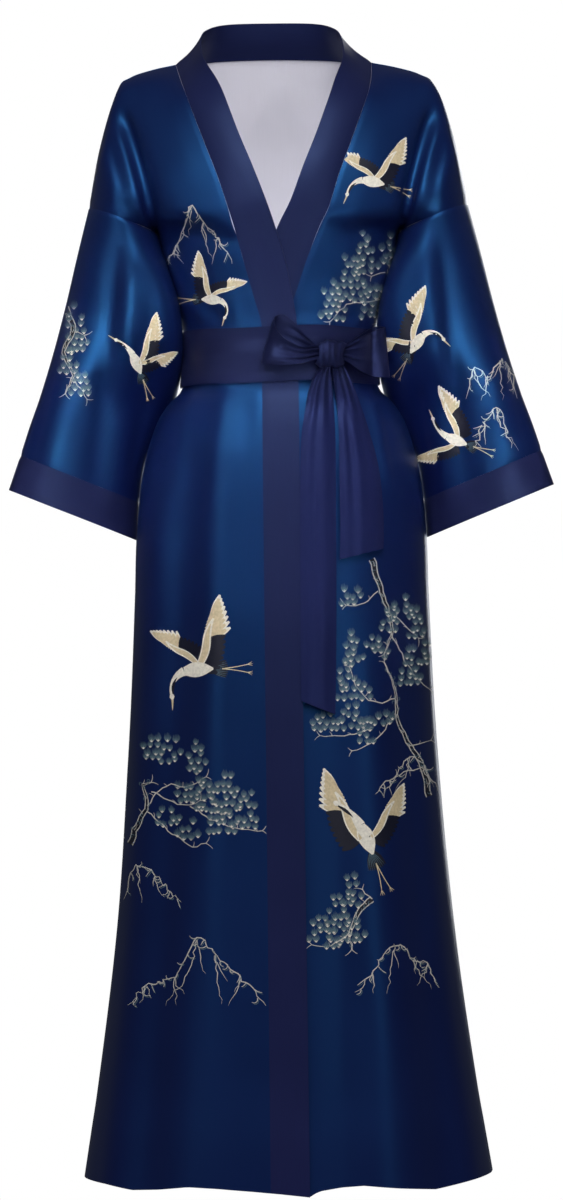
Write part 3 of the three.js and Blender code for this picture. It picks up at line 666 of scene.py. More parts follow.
def half_neckband(top):
    """Half of the neckband's outer side, from the hem up to the centre back."""
    sign = -1 if top else 1
    edges = [np.array([row.seam, row.free], float) * (sign, 1, 1) for row in NECKBAND]
    # One row lies past the centre back, so that the band runs smoothly across it
    edges.insert(0, edges[1] * (-1, 1, 1))
    names = ("top_seam", "top_free") if top else ("under_seam", "under_free")
    for section in reversed(SECTIONS):
        angles = [angle_at(section.z, edge_at(section.z, name)) for name in names]
        edges.append(body_point(section.z, np.array(angles)))
    edges = np.array(edges)
    stops = even_stops(edges[1:, 0], FINE) + 1
    seam = along(edges[:, 0], stops, (SHOULDER_ROW + 1,))
    free = along(edges[:, 1], stops)
    shares = np.linspace(0, 1, BAND_POINTS)
    grid = (seam[:, None] * (1 - shares[:, None]) + free[:, None] * shares[:, None])[::-1]
    if top:
        grid[..., 1] -= top_lift(grid[..., 0], grid[..., 2])
    else:
        grid = grid[:, ::-1]
    z = grid[..., 2]
    crown = BAND_CROWN * ramp(z, -240, -120) - BAND_HOLLOW * ramp(z, -70, 0)
    crown = np.sin(np.pi * shares) * crown
    in_front = np.where(grid[..., 1] < 0, -1, 0)
    folded = pushed(grid, crown + relief(BODY_FOLDS, grid[..., 0], z, in_front))
    return leaned(waved(folded, -1))


def tucked(grid):
    """A closed grid with one more ring at its top, drawn in under the panel it is sewn to."""
    ring = grid[-1] + (grid[-1] - grid[-2]) * 0.3 - normals_of(grid, True)[-1] * TUCK
    return np.concatenate([grid, ring[None]])


def neckband_grid():
    """The whole neckband's outer side, up one front, round the neck and down the other."""
    return np.concatenate([half_neckband(True), half_neckband(False)[-2::-1, ::-1]])


def sleeve_grid(side, first, last):
    """A sleeve's rings between two of its rows, from the lower ring up."""
    ends = np.array([(*row.outer, *row.inner, row.depth, row.ahead) for row in SLEEVE], float)
    stops = even_stops(ends[first:last + 1, :2], FINE)[::-1] + first
    outer_x, outer_z, inner_x, inner_z, depth, ahead = along(ends, stops).T[:, :, None]
    turn = np.linspace(0, 2 * np.pi, ROUND_POINTS, endpoint=False)[None]
    share = (1 + np.cos(turn)) / 2
    # Stops count the sleeve's rows from the armhole, so this lies between the first two
    bunched = BUNCHED * (ramp(stops, 0, 0.12) - ramp(stops, 0.2, 0.6))[:, None]
    x = inner_x + share * (outer_x - inner_x) - bunched * (1 - share) ** 4
    z = inner_z + share * (outer_z - inner_z)
    y = -depth * np.sin(turn) - ahead * (1 - share) ** 2
    grid = joined(side * x, y, z)
    if side > 0:
        grid = grid[:, ::-1]
    face = np.where(grid[..., 1] > 0, 1, -1)
    height = relief(SLEEVE_FOLDS + SLEEVE_CREASES, np.abs(grid[..., 0]), grid[..., 2], face)
    return pushed(grid, height * np.abs(normals_of(grid, True)[..., 1]), True)


def sash_y(x):
    """Y of the sash's outer face in front, which runs straight on past its side."""
    half, front, _ = section_at(KNOT_CENTRE[1])
    half = half + CLEAR + BAND
    front = front + WRAP + CLEAR + BAND
    angle = np.arcsin((np.abs(np.minimum(x, half - 8)) / half) ** (SQUARENESS / 2))
    return -front * np.cos(angle) ** (2 / SQUARENESS)


def front_y(x, z):
    """Y of the robe's front with its folds."""
    return body_point(z, angle_at(z, x))[..., 1] - relief(BODY_FOLDS, x, z, -1)


def belt_grid():
    """The sash round the waist, drawn into soft folds along its length."""
    turn = np.linspace(0, 360, BELT_POINTS[0], endpoint=False)[None]
    share = np.linspace(0, 1, BELT_POINTS[1])[:, None]
    z = BELT_BOTTOM + (BELT_TOP - BELT_BOTTOM) * share
    grid = body_point(z, turn)
    ahead = ramp(-grid[..., 1], -10, 40)
    lift = CLEAR + (sash_lift(grid[..., 0]) - CLEAR) * ahead + BAND
    grid = pushed(grid, lift, True)
    around = np.radians(turn)
    wander = 0.05 * np.sin(around + 0.6) + 0.03 * np.sin(3 * around + 2)
    height = np.zeros(share.shape)
    for fold in SASH_FOLDS:
        centre = fold.share + fold.wander * np.sin(fold.turns * around + fold.phase) + wander
        height = height + fold.height * np.exp(-(((share - centre) / fold.width) ** 2))
    grid = pushed(grid, height, True)
    edge = EDGE_WAVE * (np.sin(2 * around + 1.2) + 0.6 * np.sin(5 * around))
    grid[..., 2] += edge * (2 * share - 1) ** 2
    return grid


def loop_grid(rows):
    """A loop of the bow: a strip bent round the body, with pleats that run into the knot."""
    x, behind, z, width, lean = along(rows, np.linspace(0, len(rows) - 1, LOOP_POINTS[0])).T
    share = np.linspace(-0.5, 0.5, LOOP_POINTS[1])[None]
    y = sash_y(x) - LOOP_STANDS_OFF + behind
    columns = joined(x[:, None] + share * lean[:, None], y[:, None],
                     z[:, None] + share * width[:, None])
    # Pleats are fullest beside the knot, and open into one broad swell
    toward_knot = ramp(np.abs(x - KNOT_CENTRE[0]), 66, 17)[:, None]
    pleats = np.sin(2 * np.pi * (3.1 * share + 0.2)) + 0.5 * np.sin(2 * np.pi * (5.3 * share + 0.6))
    swell = np.sin(2 * np.pi * (1.2 * share + 0.1))
    columns[..., 1] += LOOP_PLEAT * toward_knot * pleats
    columns[..., 1] += LOOP_SWELL * (1 - toward_knot) * swell
    return columns if rows[0].x < KNOT_CENTRE[0] else columns[:, ::-1]


def tail_grid(rows, slant, rolls):
    """A tail of the sash, which hangs over the skirt in soft lengthwise rolls."""
    stops = even_stops([(row.left, row.z) for row in rows], TAIL_STEP)
    z, left, right = along([(row.z, row.left, row.right) for row in rows], stops).T[:, :, None]
    share = np.linspace(0, 1, TAIL_POINTS)[None]
    x = left + share * (right - left)
    z = z - slant * share * ramp(stops, len(rows) - 2.5, len(rows) - 1)[:, None]
    top = rows[1].z
    gathered = ramp(z, top - TAIL_GATHER, top)
    lift = WRAP + CLEAR + BAND + TAIL_CROWN * np.sin(np.pi * share)
    # It steps out over the sash's lower edge
    lift = lift + ramp(z, BELT_BOTTOM - 26, BELT_BOTTOM) * (CLEAR + BAND + 5)
    soft = (1 - gathered) * (1 - np.exp(-((z - rows[-1].z) / 60) ** 2) * 0.5)
    for roll in rolls:
        lift = lift + roll.height * soft * np.exp(-(((share - roll.share) / roll.width) ** 2))
    lift = lift + TAIL_PLEAT * gathered * np.sin(2 * np.pi * (3 * share + 0.3))
    return joined(x, front_y(x, z) - lift, z)[::-1]


def knot_grid():
    """The knot: a band that wraps the bow's middle once, with slanting pleats."""
    across = np.linspace(-1, 1, KNOT_POINTS)[:, None]
    turn = np.linspace(0, 2 * np.pi, ROUND_POINTS, endpoint=False)[None]
    swell = 1 - KNOT_TAPER * np.abs(across) ** 3.5
    half_x, half_y, half_z = KNOT_HALF
    pleats = (1 + 0.07 * np.sin(5 * across + 2.2 * np.cos(turn) + 0.8)
              + 0.035 * np.sin(13 * across - turn))
    # Its section is a little squarer than round, and it is narrowest in front and behind
    round_y = np.sign(np.sin(turn)) * np.abs(np.sin(turn)) ** 0.9
    round_z = np.sign(np.cos(turn)) * np.abs(np.cos(turn)) ** 0.9
    pinch = 0.84 + 0.2 * np.abs(np.cos(turn)) ** 1.5
    x = KNOT_CENTRE[0] + half_x * pinch * across + 1.5 * np.cos(turn)
    y = sash_y(x) - half_y - CLEAR / 2 - half_y * swell * pleats * round_y
    z = KNOT_CENTRE[1] + half_z * swell * pleats * round_z
    return joined(x, y, z)


# The print. Motifs are laid out in millimetres as X and Z, seen from in front, or as seen
# from behind with X turned round, and then pressed onto the cloth.
INK_HEIGHT = 0.22  # how far the lowest layer of ink stands off the cloth, so that it shows clean
INK_STEP = 0.07  # between one layer and the next
CELL = 6.0  # the longest that one face of a stroke may be
TUFT_PITCH = 7.6  # between the pine tufts of a heap
TUFTS_KEPT = 0.93  # the share of a heap's tufts that are drawn
TRUNK = 6.5  # how wide a bough's trunk is
BRANCH = 1.6
PRESS_FROM = 500  # how far off the motifs set out towards the cloth


def turtle(start, heading, length, bend, steps=8):
    """A path that sets out at a heading and bends evenly by an angle, in degrees."""
    headings = np.radians(heading + bend * (np.arange(steps) + 0.5) / steps)
    moves = np.stack([np.cos(headings), np.sin(headings)], axis=-1) * length / steps
    return np.concatenate([[start], start + np.cumsum(moves, axis=0)])


def straight(heading, length):
    """How far a straight step at a heading goes in X and Z."""
    return turtle((0, 0), heading, length, 0, 1)[1]


class Motifs:
    """What is printed on one panel: faces in the panel's plane, each with its ink."""

    def __init__(self):
        self.points = []
        self.layers = []
        self.faces = []
        self.inks = []

    def stroke(self, ink, layer, path, widths):
        """A strip along a path, with widths spread evenly from its start to its end."""
        path = np.asarray(path, float)
        lengths = np.linalg.norm(np.diff(path, axis=0), axis=1)
        count = max(len(path) - 1, int(np.ceil(lengths.sum() / CELL)), len(widths) - 1)
        at = np.interp(np.linspace(0, lengths.sum(), count + 1),
                       np.concatenate([[0], np.cumsum(lengths)]), np.arange(len(path)))
        line = along(path, at)
        width = along(widths, np.linspace(0, len(widths) - 1, count + 1)) / 2
        ways = np.gradient(line, axis=0)
        sides = np.stack([-ways[:, 1], ways[:, 0]], axis=-1)
        sides /= np.maximum(np.linalg.norm(sides, axis=1, keepdims=True), 1e-9)
        cells = 2 if width.max() > CELL / 2 else 1
        first = len(self.points)
        for across in np.linspace(-1, 1, cells + 1):
            self.points.extend(line + sides * (width * across)[:, None])
            self.layers.extend([layer] * (count + 1))
        for cell in range(cells):
            for step in range(count):
                corner = first + cell * (count + 1) + step
                above = corner + count + 1
                self.faces.append((corner, corner + 1, above + 1, above))
                self.inks.append(ink)


def wing(motifs, root, lead, length, flip):
    """A crane's wing: pale feathers fan back from the leading edge, with dark ones by the body.

    Angles are in degrees. Lengths are shares of the wing's, and pale edges are in millimetres.
    """
    arm = turtle(root, lead + flip * 22, 0.42 * length, -flip * 30)
    hand = turtle(arm[-1], lead - flip * 8, 0.4 * length, flip * 26)
    edge = np.concatenate([arm, hand[1:]])
    wide = 0.12 * length
    for share in np.linspace(1, 0.04, 16):
        base = along(edge, [share * (len(edge) - 1)])[0]
        heading = lead + flip * (112 - 96 * share ** 1.1)
        inner = share < 0.5
        reach = length * (0.36 if inner else 0.4 + 0.06 * math.sin(math.pi * share))
        feather = turtle(base, heading, reach, -flip * 14, 6)
        if inner:
            motifs.stroke("dark", 3, feather, [wide * 0.8, wide, wide, wide * 0.3])
        else:
            motifs.stroke("white", 1, feather, [wide * 0.6, wide, wide, wide * 0.25])
            motifs.stroke("cream", 2, feather[:-1], [wide * 0.5, wide - 1.1, wide - 1.3, wide * 0.3])
    edge = edge + straight(lead + flip * 90, 0.04 * length)
    motifs.stroke("white", 4, edge, [0.1 * length, 0.14 * length, 0.12 * length, 0.03 * length])
    motifs.stroke("cream", 5, edge[:-2], [0.06 * length, 0.1 * length, 0.08 * length, 0.01 * length])


def crane(motifs, row):
    """A crane in flight, whose wings, neck and legs are set by a few angles.

    Lengths are shares of the crane's size, but thin lines have their widths in millimetres.
    """
    size = row.size
    place = np.array([row.x, row.z], float)
    ahead = np.array([math.cos(math.radians(row.heading)), math.sin(math.radians(row.heading))])
    side = np.array([-ahead[1], ahead[0]])
    rump = place - ahead * 0.22 * size
    for spread in np.linspace(-38, 38, 9):
        plume = turtle(rump, row.heading + 180 + spread, 0.3 * size, -spread * 0.6, 4)
        motifs.stroke("dark", 0, plume, [0.05 * size, 0.07 * size, 0.01 * size])
        motifs.stroke("pine", 1, plume + side * 0.02 * size, [0.3, 0.5, 0.1])
    for foot in (-1, 1):
        leg = turtle(rump - ahead * 0.2 * size, row.heading + 180 + foot * 5, 0.42 * size, foot * 8, 4)
        motifs.stroke("cream", 1, leg, [1.3, 0.9, 0.9])
        for spread in (-24, 0, 24):
            toe = turtle(leg[-1], row.heading + 180 + foot * 9 + spread, 0.08 * size, 0, 1)
            motifs.stroke("cream", 1, toe, [0.9, 0.3])
    for lead, length in ((row.high_wing, size), (row.side_wing, 0.78 * size)):
        flip = 1 if (lead - row.heading + 180) % 360 - 180 > 0 else -1
        wing(motifs, place + side * flip * 0.05 * size, lead, length, flip)
    body = turtle(rump - ahead * 0.06 * size, row.heading, 0.48 * size, row.bend * 0.1)
    motifs.stroke("white", 6, body, [0.03 * size, 0.2 * size, 0.24 * size, 0.13 * size])
    neck = turtle(body[-1], row.heading + row.bend * 0.2, 0.46 * size, row.bend * 0.75)
    motifs.stroke("white", 6, neck, [0.15 * size, 0.1 * size, 0.065 * size, 0.055 * size])
    curl = 1 if row.bend > 0 else -1
    heading = row.heading + row.bend * 0.95
    throat = neck[3:] + straight(heading + curl * 90, 0.025 * size)
    motifs.stroke("dark", 7, throat, [0.3, 0.05 * size, 0.02 * size])
    head = turtle(neck[-1], heading, 0.09 * size, 0, 2)
    motifs.stroke("white", 7, head, [0.05 * size, 0.085 * size, 0.03 * size])
    beak = turtle(head[-1], heading - row.bend * 0.1, 0.17 * size, 0, 2)
    motifs.stroke("cream", 7, beak, [0.035 * size, 0.012 * size])


def tuft(motifs, x, z, reach, random):
    """A pine tuft: needles that fan up from a bud and close to a soft point."""
    for lean in np.linspace(-70, 70, 9):
        length = reach * (1 - 0.22 * abs(lean) / 70) * random.uniform(0.85, 1.1)
        needle = turtle((x, z), 90 - lean, length, lean * 0.9, 4)
        motifs.stroke("pine", 1, needle, [0.8, 0.7, 0.2])
    bud = "white" if random.uniform() < 0.7 else "line"
    for lean in (-45, 0, 45):
        motifs.stroke(bud, 2, turtle((x, z - 0.5), 90 - lean, 0.3 * reach, 0, 1), [1.1, 0.4])


def heap(motifs, x, z, width, height, random):
    """Pine tufts heaped on a branch, row over row, to an uneven point."""
    rows = max(2, round(height / TUFT_PITCH))
    for row in range(rows - 1, -1, -1):
        wide = width * math.cos(1.35 * row / rows) + random.uniform(-3, 3)
        count = max(1, round(wide / TUFT_PITCH))
        for index in range(count):
            if random.uniform() >= TUFTS_KEPT:
                continue
            across = (index - (count - 1) / 2) * TUFT_PITCH + (row % 2 - 0.5) * 0.5 * TUFT_PITCH
            tuft_x = x + across + random.uniform(-2, 2)
            tuft_z = z + row * TUFT_PITCH + random.uniform(-2, 2)
            tuft(motifs, tuft_x, tuft_z, random.uniform(7.6, 10.4), random)


def rough(path, random, step, sway):
    """A path broken into short uneven steps."""
    path = np.asarray(path, float)
    lengths = np.linalg.norm(np.diff(path, axis=0), axis=1)
    count = max(2, round(lengths.sum() / step))
    at = np.linspace(0, len(path) - 1, count + 1)
    line = along(path, at)
    line[1:-1] += random.uniform(-sway, sway, (count - 1, 2))
    return line


def beside(line, distance):
    """A line moved to its left by a distance at each point."""
    ways = np.gradient(line, axis=0)
    across = np.stack([-ways[:, 1], ways[:, 0]], axis=-1)
    across /= np.linalg.norm(across, axis=1, keepdims=True)
    return line + across * np.reshape(distance, (-1, 1))


def bough(motifs, row, random):
    """A pine bough: a trunk in outline with knots in its bark, branches, twigs and tufts."""
    for index, branch in enumerate(row.branches):
        wide = TRUNK if index == 0 else BRANCH
        line = rough(branch, random, 6, 1.5)
        taper = np.linspace(wide, 0.6, len(line)) / 2
        motifs.stroke("dark", 0, line, [wide, wide * 0.7, 0.8])
        for edge in (-1, 1) if index == 0 else (0,):
            motifs.stroke("line", 1, beside(line, edge * taper), [1.3, 1.1, 0.7])
        for knot in line[1:-1] if index == 0 else ():
            start = knot + random.uniform(-1, 1, 2)
            curl = turtle(start, random.uniform(0, 360), 8, 270, 6)
            motifs.stroke("pine", 1, curl, [0.5, 0.8, 0.4])
        heading = math.degrees(math.atan2(*(line[-1] - line[-2])[::-1]))
        for turn in (35, -30):
            twig = turtle(line[-1], heading + turn, random.uniform(6, 11), turn, 4)
            motifs.stroke("line", 1, twig, [0.9, 0.4])
        for knot in line[2:-1:3]:
            twig = turtle(knot, random.uniform(30, 150), random.uniform(4, 8), 40, 3)
            motifs.stroke("line", 1, twig, [0.8, 0.4])
    for place in row.heaps:
        heap(motifs, *place, random)


def ridge(motifs, row, random):
    """A far mountain in a rough line, with crags along it and gullies that run down from it."""
    shares = np.array([0, *[peak[0] for peak in row.peaks], 1])
    heights = np.array([0, *[peak[1] for peak in row.peaks], 0])
    line = np.stack([row.left + shares * (row.right - row.left), row.base + heights], axis=-1)
    crest = rough(line, random, 4.5, 2.8)
    motifs.stroke("line", 1, crest, [0.4, 1.3, 0.9, 1.4, 0.9, 1.3, 0.4])
    for place in crest[2:-2:2]:
        heading = random.uniform(-150, -30)
        length = random.uniform(7, 12)
        crag = turtle(place, heading, length, random.uniform(-190, 190), 5)
        motifs.stroke("line", 1, crag, [1.0, 0.9, 0.5])
        motifs.stroke("pine", 1, crag + (1.2, -1.6), [0.8, 0.6, 0.3])
    for place in line[1:-1]:
        for reach in (0.95, 0.5):
            drop = (row.base + random.uniform(-6, 4) - place[1]) * reach
            lean = random.uniform(-0.6, 0.6) * drop
            path = [place, place + (lean * 0.3, drop * 0.5), place + (lean, drop)]
            motifs.stroke("line", 1, rough(path, random, 5, 2.2), [1.0, 0.9, 0.2])


def hex_to_linear(colour):
    """An sRGB hex colour as the linear values that Blender takes."""
    shares = [int(colour[start:start + 2], 16) / 255 for start in (1, 3, 5)]
    return [share / 12.92 if share <= 0.04045 else ((share + 0.055) / 1.055) ** 2.4
            for share in shares] + [1.0]


def add_node(tree, kind, settings=None, **inputs):
    """Adds a node: settings are its options, and each input is a value or a socket to link.

    An input goes by its name, or by its number, as i0 for the first.
    """
    node = tree.nodes.new(kind)
    for name, value in (settings or {}).items():
        setattr(node, name, value)
    for name, value in inputs.items():
        socket = node.inputs[int(name[1:]) if name[1:].isdigit() else name.replace("_", " ")]
        if isinstance(value, bpy.types.NodeSocket):
            tree.links.new(value, socket)
        else:
            socket.default_value = value
    return node.outputs


def colour_stops(ramp_node, stops):
    """Sets a colour ramp's stops from pairs of place and hex colour."""
    elements = ramp_node.color_ramp.elements
    while len(elements) < len(stops):
        elements.new(0.5)
    for element, (place, colour) in zip(elements, stops):
        element.position = place
        element.color = hex_to_linear(colour)


def new_material(name):
    """A new material, its nodes and its surface."""
    material = bpy.data.materials.new(name)
    material.use_nodes = True
    tree = material.node_tree
    return material, tree, tree.nodes["Principled BSDF"]


def satin(name, shades, float_tint, lustre, roughness, warp_gap, uneven):
    """Polyester satin: smooth warp floats give soft, stretched highlights and deep folds.

    The shades are colours by height, from the hem to the shoulders: the ground's own colour,
    with painted shade in the darker stops of the print and the sash. The tint is what the floats
    shine with, as shot satin does. The warp gap is in metres, and uneven is how far the
    threads vary in tone.
    """
    material, tree, surface = new_material(name)
    place = add_node(tree, "ShaderNodeTexCoord")["Object"]
    along_cloth = add_node(tree, "ShaderNodeUVMap", {"uv_map": "cloth"})["UV"]
    # Colour by height from the hem up; the darker stops of the print and the sash are painted shade
    height = add_node(tree, "ShaderNodeSeparateXYZ", Vector=place)["Z"]
    share = add_node(tree, "ShaderNodeMapRange", i0=height, i1=HEM * MM, i2=0.0)["Result"]
    shade = add_node(tree, "ShaderNodeValToRGB", i0=share)["Color"]
    colour_stops(shade.node, shades)
    # Warp threads lie side by side, drawn about ten times coarser than real so that they show
    warp_scale = add_node(tree, "ShaderNodeVectorMath", {"operation": "MULTIPLY"},
                          i0=along_cloth, i1=(1 / warp_gap, 1 / (60 * warp_gap), 1))["Vector"]
    warp = add_node(tree, "ShaderNodeTexNoise", Vector=warp_scale, Scale=1.0, Detail=2.0)["Fac"]
    cloud = add_node(tree, "ShaderNodeTexNoise", Vector=place, Scale=7.0, Detail=3.0)["Fac"]
    streak = add_node(tree, "ShaderNodeMapRange", i0=warp, i1=0.25, i2=0.75,
                      i3=1 - uneven, i4=1 + uneven)["Result"]
    tone = add_node(tree, "ShaderNodeMapRange", i0=cloud, i1=0.3, i2=0.7, i3=0.93, i4=1.07)["Result"]
    shading = add_node(tree, "ShaderNodeMath", {"operation": "MULTIPLY"}, i0=streak, i1=tone)["Value"]
    colour = add_node(tree, "ShaderNodeVectorMath", {"operation": "SCALE"}, i0=shade, Scale=shading)
    tree.links.new(colour["Vector"], surface.inputs["Base Color"])
    gloss = add_node(tree, "ShaderNodeMapRange", i0=cloud, i1=0.3, i2=0.7,
                     i3=roughness - 0.04, i4=roughness + 0.05)["Result"]
    tree.links.new(gloss, surface.inputs["Roughness"])
    bump = add_node(tree, "ShaderNodeBump", Strength=0.12, Distance=0.0002, Height=warp)["Normal"]
    tree.links.new(bump, surface.inputs["Normal"])
    tangent = add_node(tree, "ShaderNodeTangent", {"direction_type": "UV_MAP", "uv_map": "cloth"})
    tree.links.new(tangent["Tangent"], surface.inputs["Tangent"])
    surface.inputs["Anisotropic"].default_value = 0.35
    surface.inputs["Specular IOR Level"].default_value = lustre
    surface.inputs["Specular Tint"].default_value = hex_to_linear(float_tint)
    return material


# The ground grows darker and more violet towards the hem, which is painted shade
PRINT_SATIN = satin("satin_navy_print_ground",
                    [(0.0, "#0f0c3e"), (0.5, "#0d0d3d"), (0.7, "#0d1242"), (1.0, "#0d1744")],
                    "#46a6ff", 1.0, 0.42, 0.0009, 0.08)
BAND_SATIN = satin("satin_slate_navy_band",
                   [(0.0, "#1b1d48"), (0.5, "#171a3f"), (1.0, "#1a1f46")],
                   "#86a4ea", 0.45, 0.46, 0.0008, 0.08)
# The charcoal stops, which fall on the belt, knot and loops, are painted shade; the tails below keep the navy
SASH_SATIN = satin("satin_slate_navy_sash",
                   [(0.0, "#181d46"), (0.68, "#181d46"), (0.72, "#131633"), (1.0, "#131633")],
                   "#7d93e8", 0.45, 0.42, 0.0008, 0.08)
REVERSE = satin("satin_reverse_pale_grey",
                [(0.0, "#f1effb"), (1.0, "#f1effb")],
                "#ffffff", 0.25, 0.62, 0.0007, 0.02)


def ink(name, colour, roughness):
    """Pigment print on satin: a thin film that dulls the cloth a little and lets its grain show."""
    material, tree, surface = new_material(name)
    place = add_node(tree, "ShaderNodeTexCoord")["Object"]
    # The squeegee's and the threads' unevenness, over about 3 mm
    grain = add_node(tree, "ShaderNodeTexNoise", Vector=place, Scale=330.0, Detail=2.0)["Fac"]
    tone = add_node(tree, "ShaderNodeMapRange", i0=grain, i1=0.3, i2=0.7, i3=0.86, i4=1.1)["Result"]
    flat = add_node(tree, "ShaderNodeRGB")
    flat["Color"].default_value = hex_to_linear(colour)
    shade = add_node(tree, "ShaderNodeVectorMath", {"operation": "SCALE"}, i0=flat["Color"], Scale=tone)
    tree.links.new(shade["Vector"], surface.inputs["Base Color"])
    bump = add_node(tree, "ShaderNodeBump", Strength=0.15, Distance=0.0002, Height=grain)["Normal"]
    tree.links.new(bump, surface.inputs["Normal"])
    surface.inputs["Roughness"].default_value = roughness
    surface.inputs["Specular IOR Level"].default_value = 0.35
    return material


INKS = {
    "dark": ink("pigment_ink_night_blue", "#0b0e24", 0.5),
    "pine": ink("pigment_ink_grey_teal", "#57717f", 0.55),
    "cream": ink("pigment_ink_cream", "#d8c6a2", 0.55),
    "white": ink("pigment_ink_white", "#efe9dc", 0.55),
    "line": ink("pigment_ink_pale_line", "#c2bfba", 0.55),
}


def face_corners(rows, spans):
    """Rows and columns of every face's four corners, turned so that the faces look out."""
    down, across = np.mgrid[0:rows - 1, 0:spans]
    return [(down, across), (down, across + 1), (down + 1, across + 1), (down + 1, across)]


def grid_faces(grid, closed):
    """A grid's faces, which look out where its rows go up and run to the right."""
    rows, columns = grid.shape[:2]
    corners = face_corners(rows, columns if closed else columns - 1)
    return np.stack([d * columns + a % columns for d, a in corners], axis=-1).reshape(-1, 4).tolist()


def cloth_mesh(name, grid, closed):
    """A mesh of a grid in millimetres, with a UV map in real metres along the cloth."""
    mesh = bpy.data.meshes.new(name)
    mesh.from_pydata((grid.reshape(-1, 3) * MM).tolist(), [], grid_faces(grid, closed))
    whole = np.concatenate([grid, grid[:, :1]], axis=1) if closed else grid
    u = run_lengths(whole, 1)
    v = run_lengths(whole, 0)
    u = u - u.mean(axis=1, keepdims=True)
    v = np.broadcast_to(v.mean(axis=1, keepdims=True), u.shape)
    uv = np.stack([u, v], axis=-1) * MM
    corners = face_corners(len(whole), whole.shape[1] - 1)
    places = np.stack([uv[d, a] for d, a in corners], axis=-2).reshape(-1)
    mesh.uv_layers.new(name="cloth").data.foreach_set("uv", places)
    return mesh, (u.max(axis=1) - u.min(axis=1)).max() * MM, v.max() * MM


def new_piece(name, mesh):
    """A new object with a mesh, which alone is selected and active."""
    piece = bpy.data.objects.new(name, mesh)
    bpy.context.collection.objects.link(piece)
    bpy.ops.object.select_all(action="DESELECT")
    piece.select_set(True)
    bpy.context.view_layer.objects.active = piece
    return piece


Finish = namedtuple("Finish", "slot outside inside thickness")
PRINTED = Finish("satin_print", PRINT_SATIN, REVERSE, CLOTH)
BANDED = Finish("satin_band", BAND_SATIN, BAND_SATIN, BAND)
SASHED = Finish("satin_sash", SASH_SATIN, SASH_SATIN, BAND)
Sheet = namedtuple("Sheet", "piece grid closed flat held area")
SHEETS = {}


def sewn(part, finish, held, grid, closed=False, dips=(), nodes=None):
    """A sheet of cloth from its outer side's grid, given its thickness and its lining side."""
    name = f"cloth_{part}"
    if dips:
        grid = pushed(grid, seam_dip(grid, dips), closed)
    mesh, width, length = cloth_mesh(name, grid, closed)
    mesh.materials.append(finish.outside)
    mesh.materials.append(finish.inside)
    piece = new_piece(name, mesh)
    area = sum(face.area for face in mesh.polygons)
    shell = piece.modifiers.new("thickness", "SOLIDIFY")
    shell.thickness = finish.thickness * MM
    shell.offset = -1
    shell.material_offset = 1
    bpy.ops.object.modifier_apply(modifier=shell.name)
    bpy.ops.object.shade_smooth_by_angle(angle=math.radians(50))
    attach(piece, "root")
    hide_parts(*(nodes or [part]))
    SHEETS[part] = Sheet(piece, grid, closed, (width, length), held, area)


SEAMS = ("left", "right", "top")  # where a body panel turns in
sewn("back", PRINTED, "hung", back_grid(), dips=SEAMS)
sewn("front_right", PRINTED, "hung", front_grid(True), dips=SEAMS)
sewn("front_left", PRINTED, "hung", front_grid(False), dips=SEAMS)
for side, end in ((-1, "right"), (1, "left")):
    sleeve = tucked(sleeve_grid(side, 0, CUFF_ROW))
    cuff = sleeve_grid(side, CUFF_ROW, len(SLEEVE) - 1)
    sewn(f"sleeve_{end}", PRINTED, "hung", sleeve, closed=True, dips=("bottom",))
    sewn(f"cuff_{end}", BANDED, "hung", cuff, closed=True, dips=("top",))
sewn("neckband", BANDED, "hung", neckband_grid(), dips=("left",),
     nodes=["neckband_right", "neckband_left"])
sewn("belt_wrap", SASHED, "gathered", belt_grid(), closed=True)
sewn("bow_knot", SASHED, "folded", knot_grid(), closed=True)
sewn("bow_loop_right", SASHED, "folded", loop_grid(LOOP_RIGHT))
sewn("bow_loop_left", SASHED, "folded", loop_grid(LOOP_LEFT))
sewn("bow_tail_long", SASHED, "hung", tail_grid(TAIL_LONG, LONG_END_SLANT, LONG_ROLLS))
sewn("bow_tail_short", SASHED, "hung", tail_grid(TAIL_SHORT, SHORT_END_SLANT, SHORT_ROLLS))


def printed(part, sheet, motifs):
    """Presses a panel's motifs onto its outer side, in thin layers of ink."""
    surface = BVHTree.FromPolygons(sheet.grid.reshape(-1, 3).tolist(),
                                   grid_faces(sheet.grid, sheet.closed))
    facing = 1 if part == "back" else -1
    ray = Vector((0, -facing, 0))
    places = []
    for (x, z), layer in zip(motifs.points, motifs.layers):
        spot, way, _, _ = surface.ray_cast(Vector((-x * facing, facing * PRESS_FROM, z)), ray)
        if spot is not None:
            way = way if way.y * facing > 0 else -way
            spot = (spot + way * (INK_HEIGHT + INK_STEP * layer)) * MM
        places.append(spot)
    kept = [index for index, face in enumerate(motifs.faces)
            if all(places[corner] is not None for corner in face)]
    inks = list(INKS)
    mesh = bpy.data.meshes.new(f"print_{part}")
    points = [place or (0, 0, 0) for place in places]
    mesh.from_pydata(points, [], [motifs.faces[index] for index in kept])
    mesh.polygons.foreach_set("material_index", [inks.index(motifs.inks[index]) for index in kept])
    for material in INKS.values():
        mesh.materials.append(material)
    piece = new_piece(f"print_{part}", mesh)
    bpy.ops.object.mode_set(mode="EDIT")
    bpy.ops.mesh.select_all(action="SELECT")
    bpy.ops.mesh.delete_loose()
    bpy.ops.object.mode_set(mode="OBJECT")
    bpy.ops.object.shade_smooth()
    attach(piece, "root")
    return piece


FIRST_SEED = 40
for number, (part, sheet) in enumerate(SHEETS.items()):
    random = np.random.default_rng(FIRST_SEED + number)
    motifs = Motifs()
    for make, table in ((bough, BOUGHS), (ridge, RIDGES)):
        for row in table:
            if row.panel == part:
                make(motifs, row, random)
    for row in CRANES:
        if row.panel == part:
            crane(motifs, row)
    on_it = [printed(part, sheet, motifs)] if motifs.faces else []


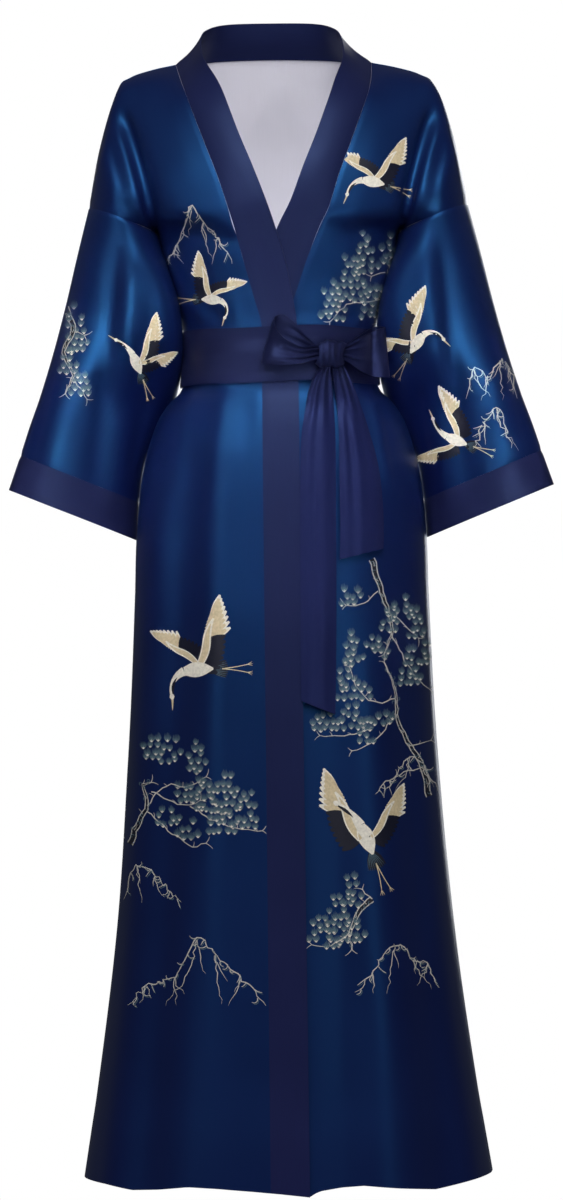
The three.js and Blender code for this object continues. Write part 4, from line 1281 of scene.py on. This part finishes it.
def emitter(name, place, target, size, power, spread=180):
    """A white area light, spread over some degrees, that the camera doesn't see."""
    light = bpy.data.lights.new(name, "AREA")
    light.shape = "RECTANGLE"
    light.size, light.size_y = size
    light.energy = power
    light.spread = math.radians(spread)
    lamp = bpy.data.objects.new(name, light)
    bpy.context.collection.objects.link(lamp)
    lamp.location = place
    aim = Vector(target) - Vector(place)
    lamp.rotation_euler = aim.to_track_quat("-Z", "Y").to_euler()
    lamp.visible_camera = False


# Seamless white studio paper, lit evenly
paper, paper_tree, paper_surface = new_material("studio_floor_paper")
paper_tree.nodes.remove(paper_surface)
glow = add_node(paper_tree, "ShaderNodeEmission", Color=hex_to_linear("#ffffff"), Strength=1.0)
paper_tree.links.new(glow["Emission"], paper_tree.nodes["Material Output"].inputs["Surface"])

bpy.ops.mesh.primitive_plane_add(size=30, location=(0, 0, -1.345))
floor = bpy.context.object
floor.name = "studio_floor"
floor.data.materials.append(paper)
floor.visible_diffuse = False
floor.visible_glossy = False
floor.visible_shadow = False

# Broad soft lamps round the robe, in metres and watts
emitter("key", (0.0, -3.0, 2.6), (0, 0, -0.35), (2.0, 1.2), 94)
emitter("front", (0.0, -5.0, 2.1), (0, 0, -0.25), (1.2, 1.0), 46)
emitter("side_right", (-2.6, -3.4, 0.3), (0, 0, -0.6), (0.8, 2.2), 14)
emitter("side_left", (1.9, -3.6, 0.0), (0, 0, -0.9), (0.8, 2.2), 12)
emitter("rear", (0.4, 3.8, 0.0), (0, 0, -0.5), (2.4, 2.2), 90)
# Narrow lamps that bring out the satin's gloss at the hips
emitter("hip", (-2.1, -3.3, 1.3), (-0.12, 0, -0.42), (0.4, 0.4), 0.07, 5)
for end in (-1, 1):
    emitter("low", (end * 1.1, -3.2, -1.05), (end * 0.2, 0, -0.4), (0.4, 0.4), 0.27, 9)

# White paper all round, which fills in the shadows only a little
world = bpy.data.worlds.new("studio")
bpy.context.scene.world = world
world.use_nodes = True
seen = add_node(world.node_tree, "ShaderNodeLightPath")["Is Camera Ray"]
fill = add_node(world.node_tree, "ShaderNodeMapRange", i0=seen, i3=0.09, i4=1.0)["Result"]
background = world.node_tree.nodes["Background"]
background.inputs["Color"].default_value = hex_to_linear("#ffffff")
world.node_tree.links.new(fill, background.inputs["Strength"])

# The picture's long side takes up the sensor's, and shows this much of the robe's plane
CAMERA_AWAY = 7.0
PICTURE_HIGH = 1.404
SENSOR = 36  # in millimetres
camera = bpy.data.objects.new("camera", bpy.data.cameras.new("camera"))
bpy.context.collection.objects.link(camera)
camera.location = (-0.0013, -CAMERA_AWAY, -0.632)
camera.rotation_euler = (math.pi / 2, math.radians(0.62), 0)
camera.data.sensor_width = SENSOR
camera.data.lens = SENSOR * CAMERA_AWAY / PICTURE_HIGH
bpy.context.scene.camera = camera
bpy.context.scene.view_settings.view_transform = "Standard"
